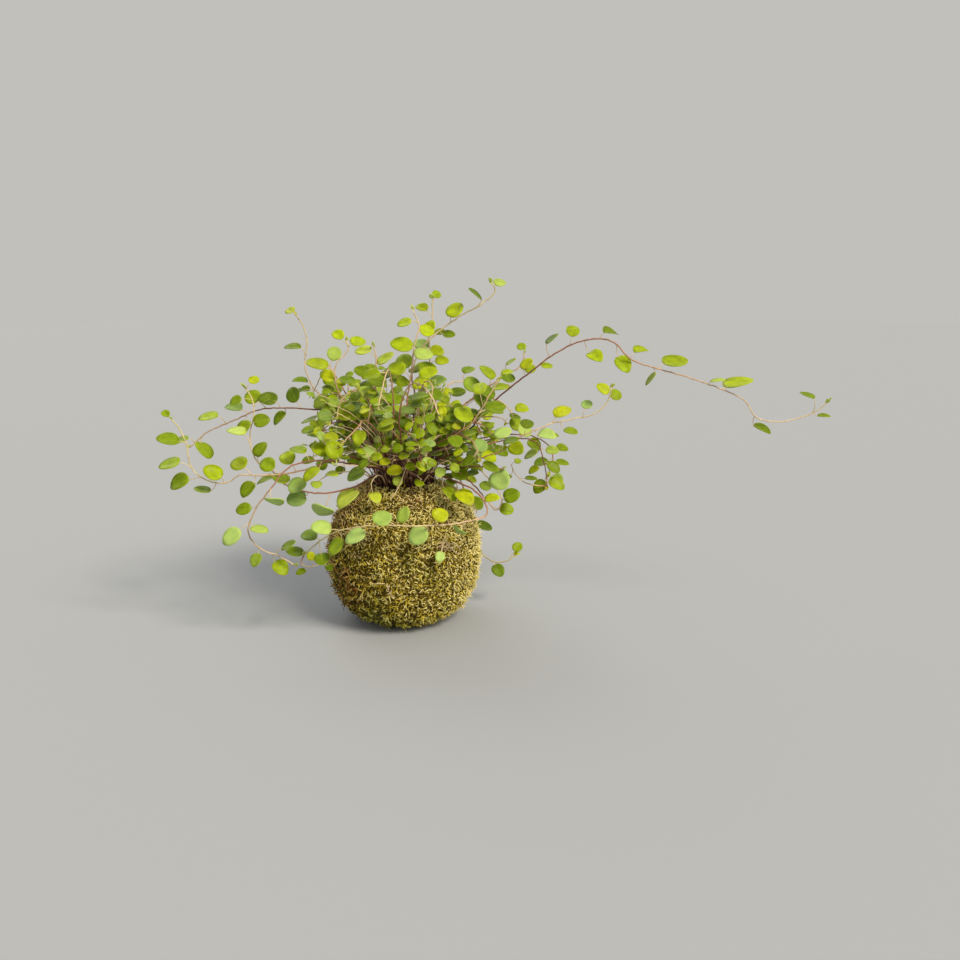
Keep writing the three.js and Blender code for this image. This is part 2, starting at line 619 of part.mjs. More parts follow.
// A blade on its stalk: one thin outline, folded along the midrib and bent where the blade begins, with the
// stalk's end inside the stem
function leafSolid(leaf) {
  const stalk = leaf.base.clone().sub(leaf.root).normalize();
  const stalkNormal = new THREE.Vector3().crossVectors(leaf.side, stalk);
  const bendNormal = stalkNormal.clone().add(leaf.normal).divideScalar(1 + stalkNormal.dot(leaf.normal));
  const half = STALK_WIDTH / 2;
  const outlinePoints = [new THREE.Vector2(-half, -1), new THREE.Vector2(half, -1)];
  for (let i = 0; i < BLADE_CORNERS; i++) {
    const angle = -Math.PI / 2 + ((i + 0.5) * 2 * Math.PI) / BLADE_CORNERS;
    const atBase = i === 0 || i === BLADE_CORNERS - 1;
    const across = atBase ? Math.sign(Math.cos(angle)) * half : (Math.cos(angle) * leaf.length * BLADE_WIDTH) / 2;
    const ahead = atBase ? 0 : (1 + Math.sin(angle) * 1.04) / 2;
    outlinePoints.push(new THREE.Vector2(across, ahead * leaf.length));
  }
  const geometry = new THREE.ExtrudeGeometry(new THREE.Shape(outlinePoints), {
    depth: BLADE_THICKNESS,
    bevelEnabled: false,
  });
  const positions = geometry.attributes.position;
  const point = new THREE.Vector3();
  for (let i = 0; i < positions.count; i++) {
    point.fromBufferAttribute(positions, i);
    const onStalk = point.y < 0;
    const lift = point.z - BLADE_THICKNESS / 2 + (onStalk ? 0 : Math.abs(point.x) * BLADE_FOLD);
    const taper = onStalk ? STALK_TAPER : 1;
    const normal = onStalk ? stalkNormal : point.y === 0 ? bendNormal : leaf.normal;
    const moved = (onStalk ? leaf.root : leaf.base)
      .clone()
      .addScaledVector(leaf.side, point.x * taper)
      .addScaledVector(normal, lift * taper)
      .addScaledVector(leaf.along, onStalk ? 0 : point.y);
    positions.setXYZ(i, moved.x, moved.y, moved.z);
  }
  return toSolid(geometry);
}

const mossMaterial = new THREE.MeshStandardMaterial({ color: 0x7c7a2c, roughness: 0.95, metalness: 0 });
const soilMaterial = new THREE.MeshStandardMaterial({ color: 0x3b2a1e, roughness: 0.95, metalness: 0 });
const leafyStemMaterial = new THREE.MeshStandardMaterial({ color: 0x86b02c, roughness: 0.5, metalness: 0 });

const kokedama = new THREE.Group();

function addPart(name, solid, material) {
  const mesh = new THREE.Mesh(toGeometry(solid), material);
  mesh.name = name;
  kokedama.add(mesh);
}

const stems = growStems();
const leaves = growLeaves(stems);
addPart("soil_core", makeSoilCore(stems), soilMaterial);
addPart("moss_sheet", makeMossSheet(), mossMaterial);
for (const stem of stems) {
  const blades = leaves.filter((leaf) => leaf.stem === stem);
  const whole = blades.reduce((solid, leaf) => solid.add(leafSolid(leaf)), stemSolid(stem));
  addPart(stem.name, whole, leafyStemMaterial);
}

export default kokedama;
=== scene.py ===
"""A kokedama: a ball of soil wrapped in a sheet of moss, with a wiry creeping vine growing out of its top.

The plant is laid out in millimetres, and every mesh is made in metres. -Y is the front, +Z is up, and the
ball rests on z = 0.
"""

import itertools
import math

import bmesh
import bpy
import numpy as np
from mathutils import Matrix, Vector, noise


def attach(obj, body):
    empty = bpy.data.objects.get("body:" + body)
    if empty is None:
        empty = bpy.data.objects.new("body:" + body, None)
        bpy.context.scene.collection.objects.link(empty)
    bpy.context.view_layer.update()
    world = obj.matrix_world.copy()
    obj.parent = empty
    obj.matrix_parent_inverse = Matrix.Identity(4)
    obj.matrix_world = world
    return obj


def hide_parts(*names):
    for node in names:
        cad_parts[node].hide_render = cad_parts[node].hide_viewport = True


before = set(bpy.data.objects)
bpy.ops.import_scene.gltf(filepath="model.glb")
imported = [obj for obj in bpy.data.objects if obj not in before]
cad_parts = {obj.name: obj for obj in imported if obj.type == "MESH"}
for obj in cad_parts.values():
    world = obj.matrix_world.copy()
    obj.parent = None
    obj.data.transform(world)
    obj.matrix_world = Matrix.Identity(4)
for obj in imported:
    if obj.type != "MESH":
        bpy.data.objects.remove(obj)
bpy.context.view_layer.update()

MM = 0.001
GOLDEN_ANGLE = math.pi * (3 - math.sqrt(5))

# The ball, in millimetres. It is squarer below its middle than above.
BALL_RADIUS, BALL_HALF_HEIGHT, BALL_MIDDLE = 50, 49.5, 47
SQUARENESS_BELOW, SQUARENESS_ABOVE = 2.8, 2.2
MOSS_THICKNESS, MOUTH_RADIUS, SOIL_TOP = 8, 20, 91.5
LUMPS = [(0.7, 2, 1.1, 0.4), (0.6, 3, -1.7, 2.1), (0.5, 5, 2.3, 4.0)]

# The growth of the vine, in millimetres
STEM_STEP, STEM_DEPTH, STEM_FREE = 11, 8, 3
STEM_BASE_RADIUS = 0.85
BLADE_WIDTH = 0.86
STALK_LENGTH, SHORTEST_STALK, LONGEST_STALK = 4.2, 1.8, 9.5
STALK_LEAST, STALK_BACK, BLADE_YIELD = 0.12, (1, 0.6, 1.3, 0.3), 0.2
LEAST_TILT, MOST_TILT = 14, 55
LEAF_SPACING, BARE_LENGTH, LEAF_TRIES = 21, 24, 40
LEAF_CLEAR, STEM_CLEAR, BALL_CLEAR = 1.3, 2.4, 3
THICKET_COUNT, THICKET_SEED, THICKET_TRIES = 22, 20, 60

# The finer growth that is added: the middle and the reach of the thicket that it fills, the point that its
# long shoots fan out from, how many old stems stand in the crown and how many low shoots round it, how many
# bare twigs, and how far those stay from blades, from other wood and from the ball, in millimetres
THICKET_MIDDLE, THICKET_REACH = np.array([-8, 5, 122]), np.array([66, 50, 37])
THICKET_FOOT = np.array([-8, 5, 100])
CROWN_STEMS, LOW_SHOOTS = 330, 84
TWIG_COUNT, TWIG_TRIES = 26, 1600
TWIG_OFF_BLADES, TWIG_OFF_WOOD, TWIG_OFF_BALL = 0.6, 1.4, 1

# The moss: how far its bed lies inside the ball's outline, and its sprigs' spacing and least and most size
BED_INSET = 2
SPRIG_TRIES, SPRIG_SPACING, SPRIG_SIZES = 40000, 1.33, (1.6, 3.4)

VINE_SEED, CROWN_SEED, SHOOT_SEED, TWIG_SEED, ROOTLET_SEED, MOSS_SEED = 31, 47, 53, 61, 77, 12

# Stems that show singly. foot: where the stem stands in the mouth, as radius and degrees from +X. route: the
# points that it passes. until: the share of its length that bears leaves by the general rule. blades: the
# middle of each other leaf as seen from the front, x and z, the leaf's length, and for some how far its upper
# side leans to the front, in degrees.
SHOWN_STEMS = [
    {
        "name": "stem_long_right", "foot": (12, 5), "until": 0.12,
        "route": [(27, 2, 112), (43, 3, 125), (60, 4, 144), (81, 4, 161), (97, 4, 173), (114, 4, 181),
            (127, 3, 182), (134, 2, 180), (144, 0, 170), (161, 0, 164), (179, 0, 159), (202, 0, 151),
            (217, 0, 144), (226, 0, 133), (239, 0, 130), (262, 0, 136), (271, 0, 143)],
        "blades": [(40, 133, 12), (47, 142, 11), (57, 148, 12), (67, 158, 11), (79, 167, 9), (92, 165, 8),
            (95, 182, 10, 14), (108, 187, 11, 32), (122, 170, 12, 32), (132, 186, 12, 17),
            (140, 166, 13, 40), (151, 175, 11, 20), (159, 158, 10, 17), (173, 168, 17, 20),
            (199, 157, 9, 6), (214, 155, 20, 12), (230, 125, 12, 5), (258, 147, 10, 14), (268, 134, 8, 10)],
    },
    {
        "name": "stem_right_hook", "foot": (13, -35), "until": 0.3,
        "route": [(22, -11, 107), (50, -14, 117), (74, -14, 123), (94, -14, 131), (107, -14, 134),
            (120, -14, 137), (128, -14, 144), (131, -14, 154)],
        "blades": [(55, 111, 11), (64, 125, 12), (72, 116, 11), (79, 131, 10), (91, 124, 12),
            (101, 138, 13), (106, 127, 9), (116, 143, 8), (125, 153, 9), (134, 149, 9)],
    },
    {
        "name": "stem_right_rising", "foot": (11, 50), "until": 0.35,
        "route": [(14, 17, 112), (29, 26, 129), (45, 28, 142), (65, 28, 156), (77, 28, 164), (79, 28, 172)],
        "blades": [(44, 151, 13), (52, 141, 11), (54, 159, 14), (64, 149, 13), (70, 166, 8), (83, 161, 8),
            (77, 176, 7)],
    },
    {
        "name": "stem_right_near", "foot": (10, -75), "until": 0.55,
        "route": [(16, -18, 115), (34, -26, 126), (45, -28, 134), (56, -28, 152), (61, -28, 160)],
        "blades": [(40, 139, 14), (59, 143, 13), (50, 155, 12), (66, 164, 8)],
    },
    {
        "name": "stem_right_drooping", "foot": (17, 30), "until": 0.5,
        "route": [(24, 17, 108), (48, 24, 113), (74, 26, 115), (88, 26, 112), (92, 24, 101), (94, 22, 91),
            (95, 20, 83)],
        "blades": [(80, 121, 11), (86, 106, 11), (98, 107, 9), (86, 93, 8), (99, 96, 10), (90, 82, 11),
            (100, 85, 12)],
    },
    {
        "name": "stem_right_drooping_back", "foot": (16, 62), "until": 0.5,
        "route": [(18, 30, 106), (55, 48, 112), (85, 54, 112), (98, 54, 105), (101, 52, 95), (98, 50, 85)],
        "blades": [(75, 121, 12), (88, 105, 11), (100, 113, 10), (108, 103, 9), (93, 94, 11), (108, 92, 10),
            (104, 81, 11)],
    },
    {
        "name": "stem_right_low", "foot": (17, -48), "until": 0.5,
        "route": [(24, -20, 103), (41, -27, 110), (52, -30, 113), (65, -32, 118)],
        "blades": [(47, 118, 11), (56, 106, 11), (68, 124, 10)],
    },
    {
        "name": "stem_right_leafy", "foot": (17, -22), "until": 0,
        "route": [(26, -9, 100), (40, -16, 104), (53, -20, 105), (64, -22, 104)],
        "blades": [(37, 98, 11), (46, 110, 10), (62, 97, 15, 50)],
    },
    {
        "name": "stem_right_loop", "foot": (17.5, 4), "until": 0,
        "route": [(26, 4, 99), (42, 4, 91), (54, 2, 78), (60, -1, 72), (64, -3, 79), (58, -1, 90),
            (50, 2, 98)],
        "blades": [(38, 99, 8), (67, 72, 10), (70, 83, 11), (53, 88, 8), (46, 101, 7)],
    },
    {
        "name": "stem_across_front", "foot": (17.5, -66), "until": 0,
        "route": [(18, -22, 101), (34, -29, 98), (49, -32, 90), (54, -38, 80), (40, -52, 78), (14, -60, 78),
            (-15, -60, 78), (-36, -52, 72), (-50, -44, 62), (-58, -42, 54)],
        "blades": [(31, 90, 12, 18), (41, 89, 14, 17), (57, 87, 10), (40, 70, 12, 32), (26, 84, 10),
            (13, 71, 13, 65), (5, 85, 11, 50), (-8, 82, 12, 36), (-25, 73, 13, 48), (-37, 62, 12, 40),
            (-44, 76, 12, 30), (-54, 67, 11), (-46, 54, 10), (-64, 56, 11)],
    },
    {
        "name": "stem_behind_right", "foot": (17.5, 46), "until": 0.6,
        "route": [(22, 24, 98), (34, 40, 86), (41, 43, 66), (44, 38, 46), (50, 28, 35), (58, 18, 31),
            (66, 14, 32), (74, 13, 37)],
        "blades": [(62, 25, 10), (75, 42, 8)],
    },
    {
        "name": "stem_left_red", "foot": (12, 178), "until": 0.3,
        "route": [(-20, 0, 112), (-37, 2, 128), (-48, 3, 136), (-65, 4, 138), (-93, 6, 137), (-109, 6, 130),
            (-126, 5, 123), (-138, 2, 113)],
        "blades": [(-52, 144, 12), (-60, 130, 11), (-70, 147, 12), (-80, 131, 11), (-86, 145, 12),
            (-97, 145, 12), (-103, 126, 11), (-110, 138, 12), (-125, 133, 13), (-129, 114, 14),
            (-143, 118, 11)],
    },
    {
        "name": "stem_left_low", "foot": (16, -150), "until": 0.22,
        "route": [(-21, -15, 106), (-36, -26, 113), (-50, -34, 108), (-66, -40, 105), (-81, -42, 104),
            (-95, -41, 104), (-101, -40, 100), (-110, -39, 99), (-120, -37, 103), (-125, -36, 109),
            (-127, -35, 122), (-130, -34, 130), (-135, -34, 137)],
        "blades": [(-47, 118, 12), (-60, 98, 12), (-66, 114, 12), (-78, 110, 12), (-89, 96, 11),
            (-95, 111, 12), (-110, 106, 12), (-118, 94, 10), (-137, 111, 13), (-133, 98, 14),
            (-137, 125, 13), (-139, 140, 6)],
    },
    {
        "name": "stem_left_tall", "foot": (9, 140), "until": 0.35,
        "route": [(-16, 12, 113), (-32, 19, 126), (-45, 21, 138), (-56, 21, 145), (-62, 21, 153),
            (-65, 21, 164), (-63, 21, 180), (-66, 21, 191), (-70, 21, 197)],
        "blades": [(-45, 149, 11), (-56, 136, 11), (-68, 154, 10), (-71, 146, 9), (-72, 176, 11, 22),
            (-73, 199, 8, 30)],
    },
    {
        "name": "stem_left_short", "foot": (6, 185), "until": 0.4,
        "route": [(-13, -2, 114), (-25, -3, 134), (-36, -3, 144), (-41, -3, 154), (-41, -2, 166),
            (-33, 0, 176), (-34, 0, 182)],
        "blades": [(-28, 146, 11), (-44, 140, 11, 45), (-34, 157, 10), (-52, 168, 14, 16), (-46, 160, 11, 45),
            (-27, 181, 10, 36), (-39, 185, 9, 45)],
    },
    {
        "name": "stem_middle_tall", "foot": (10, 105), "until": 0.5,
        "route": [(-5, 16, 112), (-11, 24, 124), (-18, 28, 141), (-21, 28, 153), (-19, 28, 169),
            (-21, 28, 177)],
        "blades": [(-27, 150, 11), (-13, 157, 13), (-28, 160, 12), (-28, 173, 12, 22), (-13, 168, 13, 30)],
    },
    {
        "name": "stem_top_right", "foot": (4, 20), "until": 0.4,
        "route": [(6, 2, 110), (7, 3, 134), (8, 4, 147), (6, 4, 158), (10, 4, 172), (19, 4, 183),
            (35, 4, 195), (51, 4, 204), (59, 4, 212), (56, 4, 217)],
        "blades": [(16, 151, 12), (-3, 155, 12), (16, 164, 12), (1, 168, 13), (22, 175, 10), (18, 189, 10),
            (34, 200, 12, 40), (30, 185, 8, 40), (46, 208, 11, 32), (62, 217, 8)],
    },
    {
        "name": "stem_top_front", "foot": (4.5, -70), "until": 0.4,
        "route": [(2, -7, 116), (4, -8, 145), (7, -8, 163), (9, -8, 179), (12, -8, 191), (8, -8, 201)],
        "blades": [(-5, 146, 12), (12, 155, 10), (-2, 165, 12), (3, 180, 14), (15, 174, 12),
            (17, 188, 10, 45), (3, 193, 9)],
    },
    {
        "name": "stem_top_back", "foot": (9, 70), "until": 0.4,
        "route": [(6, 13, 112), (9, 17, 129), (14, 17, 149), (17, 17, 168), (17, 17, 187), (19, 17, 195),
            (19, 17, 207)],
        "blades": [(22, 154, 12), (9, 163, 12), (25, 168, 9), (11, 178, 12), (24, 186, 8), (12, 201, 9, 38),
            (22, 210, 7)],
    },
    {
        "name": "stem_left_climbing", "foot": (17, -132), "until": 0,
        "route": [(-16, -21, 99), (-27, -33, 95), (-44, -41, 93), (-58, -39, 94), (-70, -33, 97),
            (-79, -28, 105), (-88, -22, 108), (-93, -18, 118), (-93, -17, 127), (-90, -16, 139),
            (-92, -14, 148), (-96, -14, 154)],
        "blades": [(-31, 88, 16, 27), (-44, 79, 16, 32), (-55, 77, 11), (-62, 89, 12),
            (-73, 102, 11), (-83, 98, 12), (-85, 116, 11), (-102, 127, 13), (-85, 134, 10), (-84, 147, 8),
            (-101, 146, 8), (-90, 158, 7)],
    },
    {
        "name": "stem_left_hanging", "foot": (16, -112), "until": 0.15,
        "route": [(-10, -24, 103), (-28, -36, 110), (-46, -46, 114), (-62, -49, 111), (-73, -51, 99),
            (-83, -51, 86), (-89, -49, 70), (-82, -48, 60), (-73, -47, 56), (-61, -50, 50)],
        "blades": [(-26, 103, 12), (-38, 119, 12), (-50, 106, 12), (-58, 120, 11), (-76, 90, 13, 30),
            (-91, 85, 10), (-98, 69, 13, 60), (-83, 74, 11, 20), (-85, 54, 9), (-71, 48, 11), (-65, 63, 10)],
    },
]


# How the vine grows


def seeded(seed):
    """A source of numbers from 0 to 1 that are the same on each run."""
    state = seed

    def draw():
        nonlocal state
        state = (state * 1664525 + 1013904223) & 0xFFFFFFFF
        return state / 4294967296

    return draw


def any_way(draw, sink=0.5):
    """A vector that points any way, and with a sink under 0.5 more often up than down."""
    return np.array([draw() - 0.5, draw() - 0.5, draw() - sink])


def steep(draw):
    """A vector that points up, a little aside."""
    return np.array([draw() - 0.5, draw() - 0.5, 1])


def unit(vector):
    return vector / (np.linalg.norm(vector) or 1)


def off_ball(points):
    """How far points stand off the ball's surface, roughly. It is negative inside."""
    wide = np.hypot(points[..., 0], points[..., 1]) / BALL_RADIUS
    tall = (points[..., 2] - BALL_MIDDLE) / BALL_HALF_HEIGHT
    power = np.where(tall < 0, SQUARENESS_BELOW, SQUARENESS_ABOVE)
    return ((wide**power + np.abs(tall) ** power) ** (1 / power) - 1) * BALL_RADIUS


def curve_through(points):
    """A smooth curve through points, as a function of the share of its length, and that length."""
    points = np.array(points, float)
    ends = np.vstack([2 * points[0] - points[1], points, 2 * points[-1] - points[-2]])

    def at(times):
        place = np.clip(times, 0, 1) * (len(points) - 1)
        piece = np.minimum(place.astype(int), len(points) - 2)
        part = (place - piece)[:, None]
        a, b, c, d = (ends[piece + i] for i in range(4))
        gap_ab, gap_bc, gap_cd = (
            np.sqrt(np.linalg.norm(q - p, axis=1))[:, None] for p, q in ((a, b), (b, c), (c, d))
        )
        leave = ((b - a) / gap_ab - (c - a) / (gap_ab + gap_bc) + (c - b) / gap_bc) * gap_bc
        arrive = ((c - b) / gap_bc - (d - b) / (gap_bc + gap_cd) + (d - c) / gap_cd) * gap_bc
        square, cube = -3 * b + 3 * c - 2 * leave - arrive, 2 * b - 2 * c + leave + arrive
        return b + part * (leave + part * (square + part * cube))

    times = np.linspace(0, 1, 201)
    steps = np.linalg.norm(np.diff(at(times), axis=0), axis=1)
    lengths = np.concatenate([[0], np.cumsum(steps)])
    return lambda shares: at(np.interp(np.atleast_1d(shares) * lengths[-1], lengths, times)), lengths[-1]


class Stem:
    """A stem: straight in its hole, then curved along its route. line has points along it to measure with."""

    def __init__(self, name, foot, route, until=1, blades=()):
        self.name, self.until, self.blades = name, until, blades
        self.foot = np.array([*foot, SOIL_TOP - STEM_DEPTH], float)
        self.at, self.length = curve_through([(*foot, SOIL_TOP + STEM_FREE), *route])
        steps = max(5, math.floor(self.length / STEM_STEP + 0.5))
        self.rings = np.vstack([self.foot, self.at(np.arange(steps + 1) / steps)])
        count = math.ceil(self.length / STEM_CLEAR)
        self.line = np.array([self.point(i / count) for i in range(count + 1)])

    def point(self, share):
        place = 1 + share * (len(self.rings) - 2)
        ring = min(int(place), len(self.rings) - 2)
        return self.rings[ring] + (self.rings[ring + 1] - self.rings[ring]) * (place - ring)

    def direction(self, share):
        ring = math.floor(1 + share * (len(self.rings) - 2) + 0.5)
        return unit(self.rings[min(ring + 1, len(self.rings) - 1)] - self.rings[ring - 1])


def foot_at(radius, degrees):
    """A place from its distance to the axis and its degrees from +X."""
    return radius * math.cos(math.radians(degrees)), radius * math.sin(math.radians(degrees))


def stems_are_clear(stem, others):
    """Whether a stem keeps off the ball and off the other stems."""
    rising = stem.line[stem.line[:, 2] > SOIL_TOP + 2 * STEM_FREE]
    outside = np.hypot(rising[:, 0], rising[:, 1]) > MOUTH_RADIUS
    if (outside & (off_ball(rising) < BALL_CLEAR)).any():
        return False
    return all(
        math.dist(stem.foot[:2], other.foot[:2]) > STEM_CLEAR * 1.25
        and np.linalg.norm(stem.line[:, None] - other.line[None], axis=2).min() > STEM_CLEAR
        for other in others
    )


def thicket_route(azimuth, foot_radius, draw):
    """Rises from the mouth, leans out and arches over. Those at the back reach further."""
    back, front = max(0, math.sin(azimuth)), max(0, -math.sin(azimuth))
    reach = 34 + 46 * back - 8 * front + 26 * draw()
    rise = 16 + 56 * draw() * (1 - 0.35 * back)
    droop = 26 * draw() * (0.4 + back)
    bend = (draw() - 0.5) * 0.9
    route = []
    for share, height in zip((0.12, 0.34, 0.58, 0.82, 1), (0.3, 0.72, 1, 0.98, 0.8)):
        angle, radius = azimuth + bend * share, foot_radius + reach * share
        aside = [(draw() - 0.5) * 7, (draw() - 0.5) * 7] if route else [0, 0]
        x, y = radius * math.cos(angle) + aside[0], radius * math.sin(angle) + aside[1]
        route.append((x, y, SOIL_TOP + 8 + rise * height - droop * share**3))
    return route


def grow_stems():
    stems = [Stem(s["name"], foot_at(*s["foot"]), s["route"], s["until"], s["blades"]) for s in SHOWN_STEMS]
    draw = seeded(THICKET_SEED)
    for i in range(THICKET_COUNT):
        for _ in range(THICKET_TRIES):
            azimuth = i * GOLDEN_ANGLE + (draw() - 0.5) * 1.2
            foot_radius = 4 + 13.5 * math.sqrt(draw())
            foot = foot_at(foot_radius, math.degrees(azimuth))
            stem = Stem(f"stem_thicket_{i + 1:02d}", foot, thicket_route(azimuth, foot_radius, draw))
            if stems_are_clear(stem, stems):
                stems.append(stem)
                break
    return stems


class Leaf:
    """A leaf from its stalk's root on the stem, its blade's middle, its length and the slant of its upper
    side."""

    def __init__(self, share, root, middle, length, slant):
        towards = unit(middle - root)
        self.share, self.root, self.middle, self.length, self.tint = share, root, middle, length, None
        self.normal = unit(slant - towards * (slant @ towards) * BLADE_YIELD)
        self.along = unit(towards - self.normal * (towards @ self.normal))
        self.side = np.cross(self.along, self.normal)
        self.base = middle - self.along * length / 2
        angles = np.arange(8) * math.pi / 4
        rim = middle + (
            np.outer(np.cos(angles), self.along) + np.outer(np.sin(angles), self.side) * BLADE_WIDTH
        ) * (length / 2)
        self.rim = np.vstack([middle, self.base + (root - self.base) * 0.4, rim])


def usual_leaf(stem, share, around, length, slant):
    """A leaf by the general rule: its stalk leans forward along the stem, and stands out at an angle round
    it."""
    root, tangent = stem.point(share), stem.direction(share)
    front = unit(np.array([0, -1, 0]) + tangent * tangent[1])
    up = np.cross(tangent, front)
    up = -up if up[2] < 0 else up
    stalk = unit(tangent * 0.55 + front * math.cos(around) + up * math.sin(around))
    middle = root + stalk * (STALK_LENGTH * (length + 6) / 18 + length / 2)
    return Leaf(share, root, middle, length, slant)


def placed_leaf(stem, x, z, back, depth, length, slant):
    """A leaf whose middle is seen at x and z. Its stalk starts on the stem a little behind the part that is
    nearest to it: back is how far, as a share of half the blade."""
    seen = np.hypot(stem.line[:, 0] - x, stem.line[:, 2] - z)
    near = max(1, 3 + int(np.argmin(seen[3:])) - math.floor(back * length / 2 / STEM_CLEAR + 0.5))
    root = stem.line[near]
    return Leaf(near / (len(stem.line) - 1), root, np.array([x, root[1] + depth, z]), length, slant)


def usual_leaves(stem):
    """Alternate leaves, mature in the middle of the stem and small at its tip."""
    start = BARE_LENGTH / stem.length
    count = max(0, math.floor((stem.until - start) * stem.length / LEAF_SPACING + 0.5))
    for i in range(count):
        share = min(start + (stem.until - start) * (i + 0.8) / count, 0.99)
        degrees = (-1 if i % 2 else 1) * 85 + ((i * 31) % 5) * 9 - 18
        length = 11.5 - 4 * share**4 + (i * 7) % 3 - 1

        def make(attempt, slant, share=share, degrees=degrees, length=length):
            return usual_leaf(stem, share, math.radians(degrees) + attempt * GOLDEN_ANGLE, length, slant)

        yield make, None


def placed_leaves(stem):
    """Leaves that have a place of their own. Where one is in the way of another, it gives way a little."""
    for i, (x, z, length, *tilt) in enumerate(stem.blades):

        def make(attempt, slant, i=i, x=x, z=z, length=length):
            turn = attempt * GOLDEN_ANGLE
            aside = min(3.5, turn / 9)
            depth = (1 if i % 2 else -1) * (1 + length / 8 + turn / 20) * math.cos(turn)
            right, up = x + aside * math.cos(1.7 * turn), z + aside * math.sin(1.7 * turn)
            return placed_leaf(stem, right, up, STALK_BACK[attempt % 4], depth, length, slant)

        yield make, tilt[0] if tilt else None


def fields_of(leaves, *fields):
    """Some fields of many leaves, each field as an array."""
    return [np.array([getattr(leaf, field) for leaf in leaves]) for field in fields]


def distance_to_blades(points, middles, normals, lengths):
    """How far points are from blades, each blade taken as a flat disc."""
    off = points - middles
    height = np.sum(off * normals, axis=-1)
    beyond = np.sqrt(np.maximum(0, np.sum(off * off, axis=-1) - height * height)) - lengths / 2
    return np.hypot(height, np.maximum(0, beyond))


class Foliage:
    """The leaves that have been placed so far, and whether there is room for another one."""

    def __init__(self, stems):
        self.leaves = []
        self.names = [stem.name for stem in stems]
        self.line = np.vstack([stem.line for stem in stems])
        self.owner = np.repeat(np.arange(len(stems)), [len(stem.line) for stem in stems])

    def has_room(self, leaf, name, clear=LEAF_CLEAR, off=BALL_CLEAR):
        stalk = leaf.base - leaf.root
        length = np.linalg.norm(stalk)
        if not SHORTEST_STALK <= length <= LONGEST_STALK or stalk @ leaf.along < STALK_LEAST * length:
            return False
        if (off_ball(leaf.rim) < off).any():
            return False
        own = self.owner == (self.names.index(name) if name in self.names else -1)
        room = np.where(own, STEM_BASE_RADIUS, clear + STEM_BASE_RADIUS)
        if (distance_to_blades(self.line, leaf.middle, leaf.normal, leaf.length) < room).any():
            return False
        if (~own & (np.linalg.norm(self.line - leaf.rim[1], axis=1) < room)).any():
            return False
        if not self.leaves:
            return True
        rims, middles, normals, lengths = fields_of(self.leaves, "rim", "middle", "normal", "length")
        mine = distance_to_blades(leaf.rim[None], middles[:, None], normals[:, None], lengths[:, None])
        theirs = distance_to_blades(rims, leaf.middle, leaf.normal, leaf.length)
        return mine.min() > clear and theirs.min() > clear


def some_tilt(draw):
    return LEAST_TILT + (MOST_TILT - LEAST_TILT) * draw()


def slant_of(aside, tilt):
    """Which way a blade's upper side faces: a little aside, and leaning to the front by a tilt in degrees."""
    return np.array([aside, -math.sin(math.radians(tilt)), math.cos(math.radians(tilt))])


def grow_leaves(stems):
    """Turns each leaf about until it is clear of everything, and leaves it out if it never is."""
    draw = seeded(THICKET_SEED + 1)
    foliage = Foliage(stems)
    for rule in (placed_leaves, usual_leaves):
        for stem in stems:
            for make, tilt in rule(stem):
                slant = slant_of(0.9 * (draw() - 0.5), some_tilt(draw) if tilt is None else tilt)
                for attempt in range(LEAF_TRIES):
                    leaf = make(attempt, unit(slant))
                    if foliage.has_room(leaf, stem.name):
                        leaf.stem = stem.name
                        foliage.leaves.append(leaf)
                        break
                    slant += np.array([(draw() - 0.5) * 0.4, (draw() - 0.5) * 0.4, 0])
    return foliage


stems = grow_stems()
foliage = grow_leaves(stems)


# Materials


def colour(code):
    """A colour of the screen, such as #8DB52A, as the linear one that Blender reckons with."""
    parts = [int(code[i : i + 2], 16) / 255 for i in (1, 3, 5)]
    return (*(p / 12.92 if p <= 0.04045 else ((p + 0.055) / 1.055) ** 2.4 for p in parts), 1.0)


def add(tree, kind, inputs=(), stops=(), **settings):
    """Adds a node with its settings. An input is a value, or the socket that it is linked to."""
    node = tree.nodes.new("ShaderNode" + kind)
    for name, value in settings.items():
        setattr(node, name, value)
    for name, value in dict(inputs).items():
        if isinstance(value, bpy.types.NodeSocket):
            tree.links.new(value, node.inputs[name])
        else:
            node.inputs[name].default_value = value
    for i, (place, code) in enumerate(stops):
        element = node.color_ramp.elements[i] if i < 2 else node.color_ramp.elements.new(place)
        element.position, element.color = place, colour(code)
    return node


def scale_of(size):
    """The scale of a pattern that is so many millimetres from one grain, fleck or patch to the next."""
    return 1 / (size * MM)


def new_material(name):
    """A material with its shader: the material, its node tree and the shader node."""
    material = bpy.data.materials.new(name)
    material.use_nodes = True
    tree = material.node_tree
    return material, tree, tree.nodes["Principled BSDF"]


def connect(tree, shader, **sockets):
    """Links sockets to the inputs of a shader that have their names."""
    for name, socket in sockets.items():
        tree.links.new(socket, shader.inputs[name.replace("_", " ")])


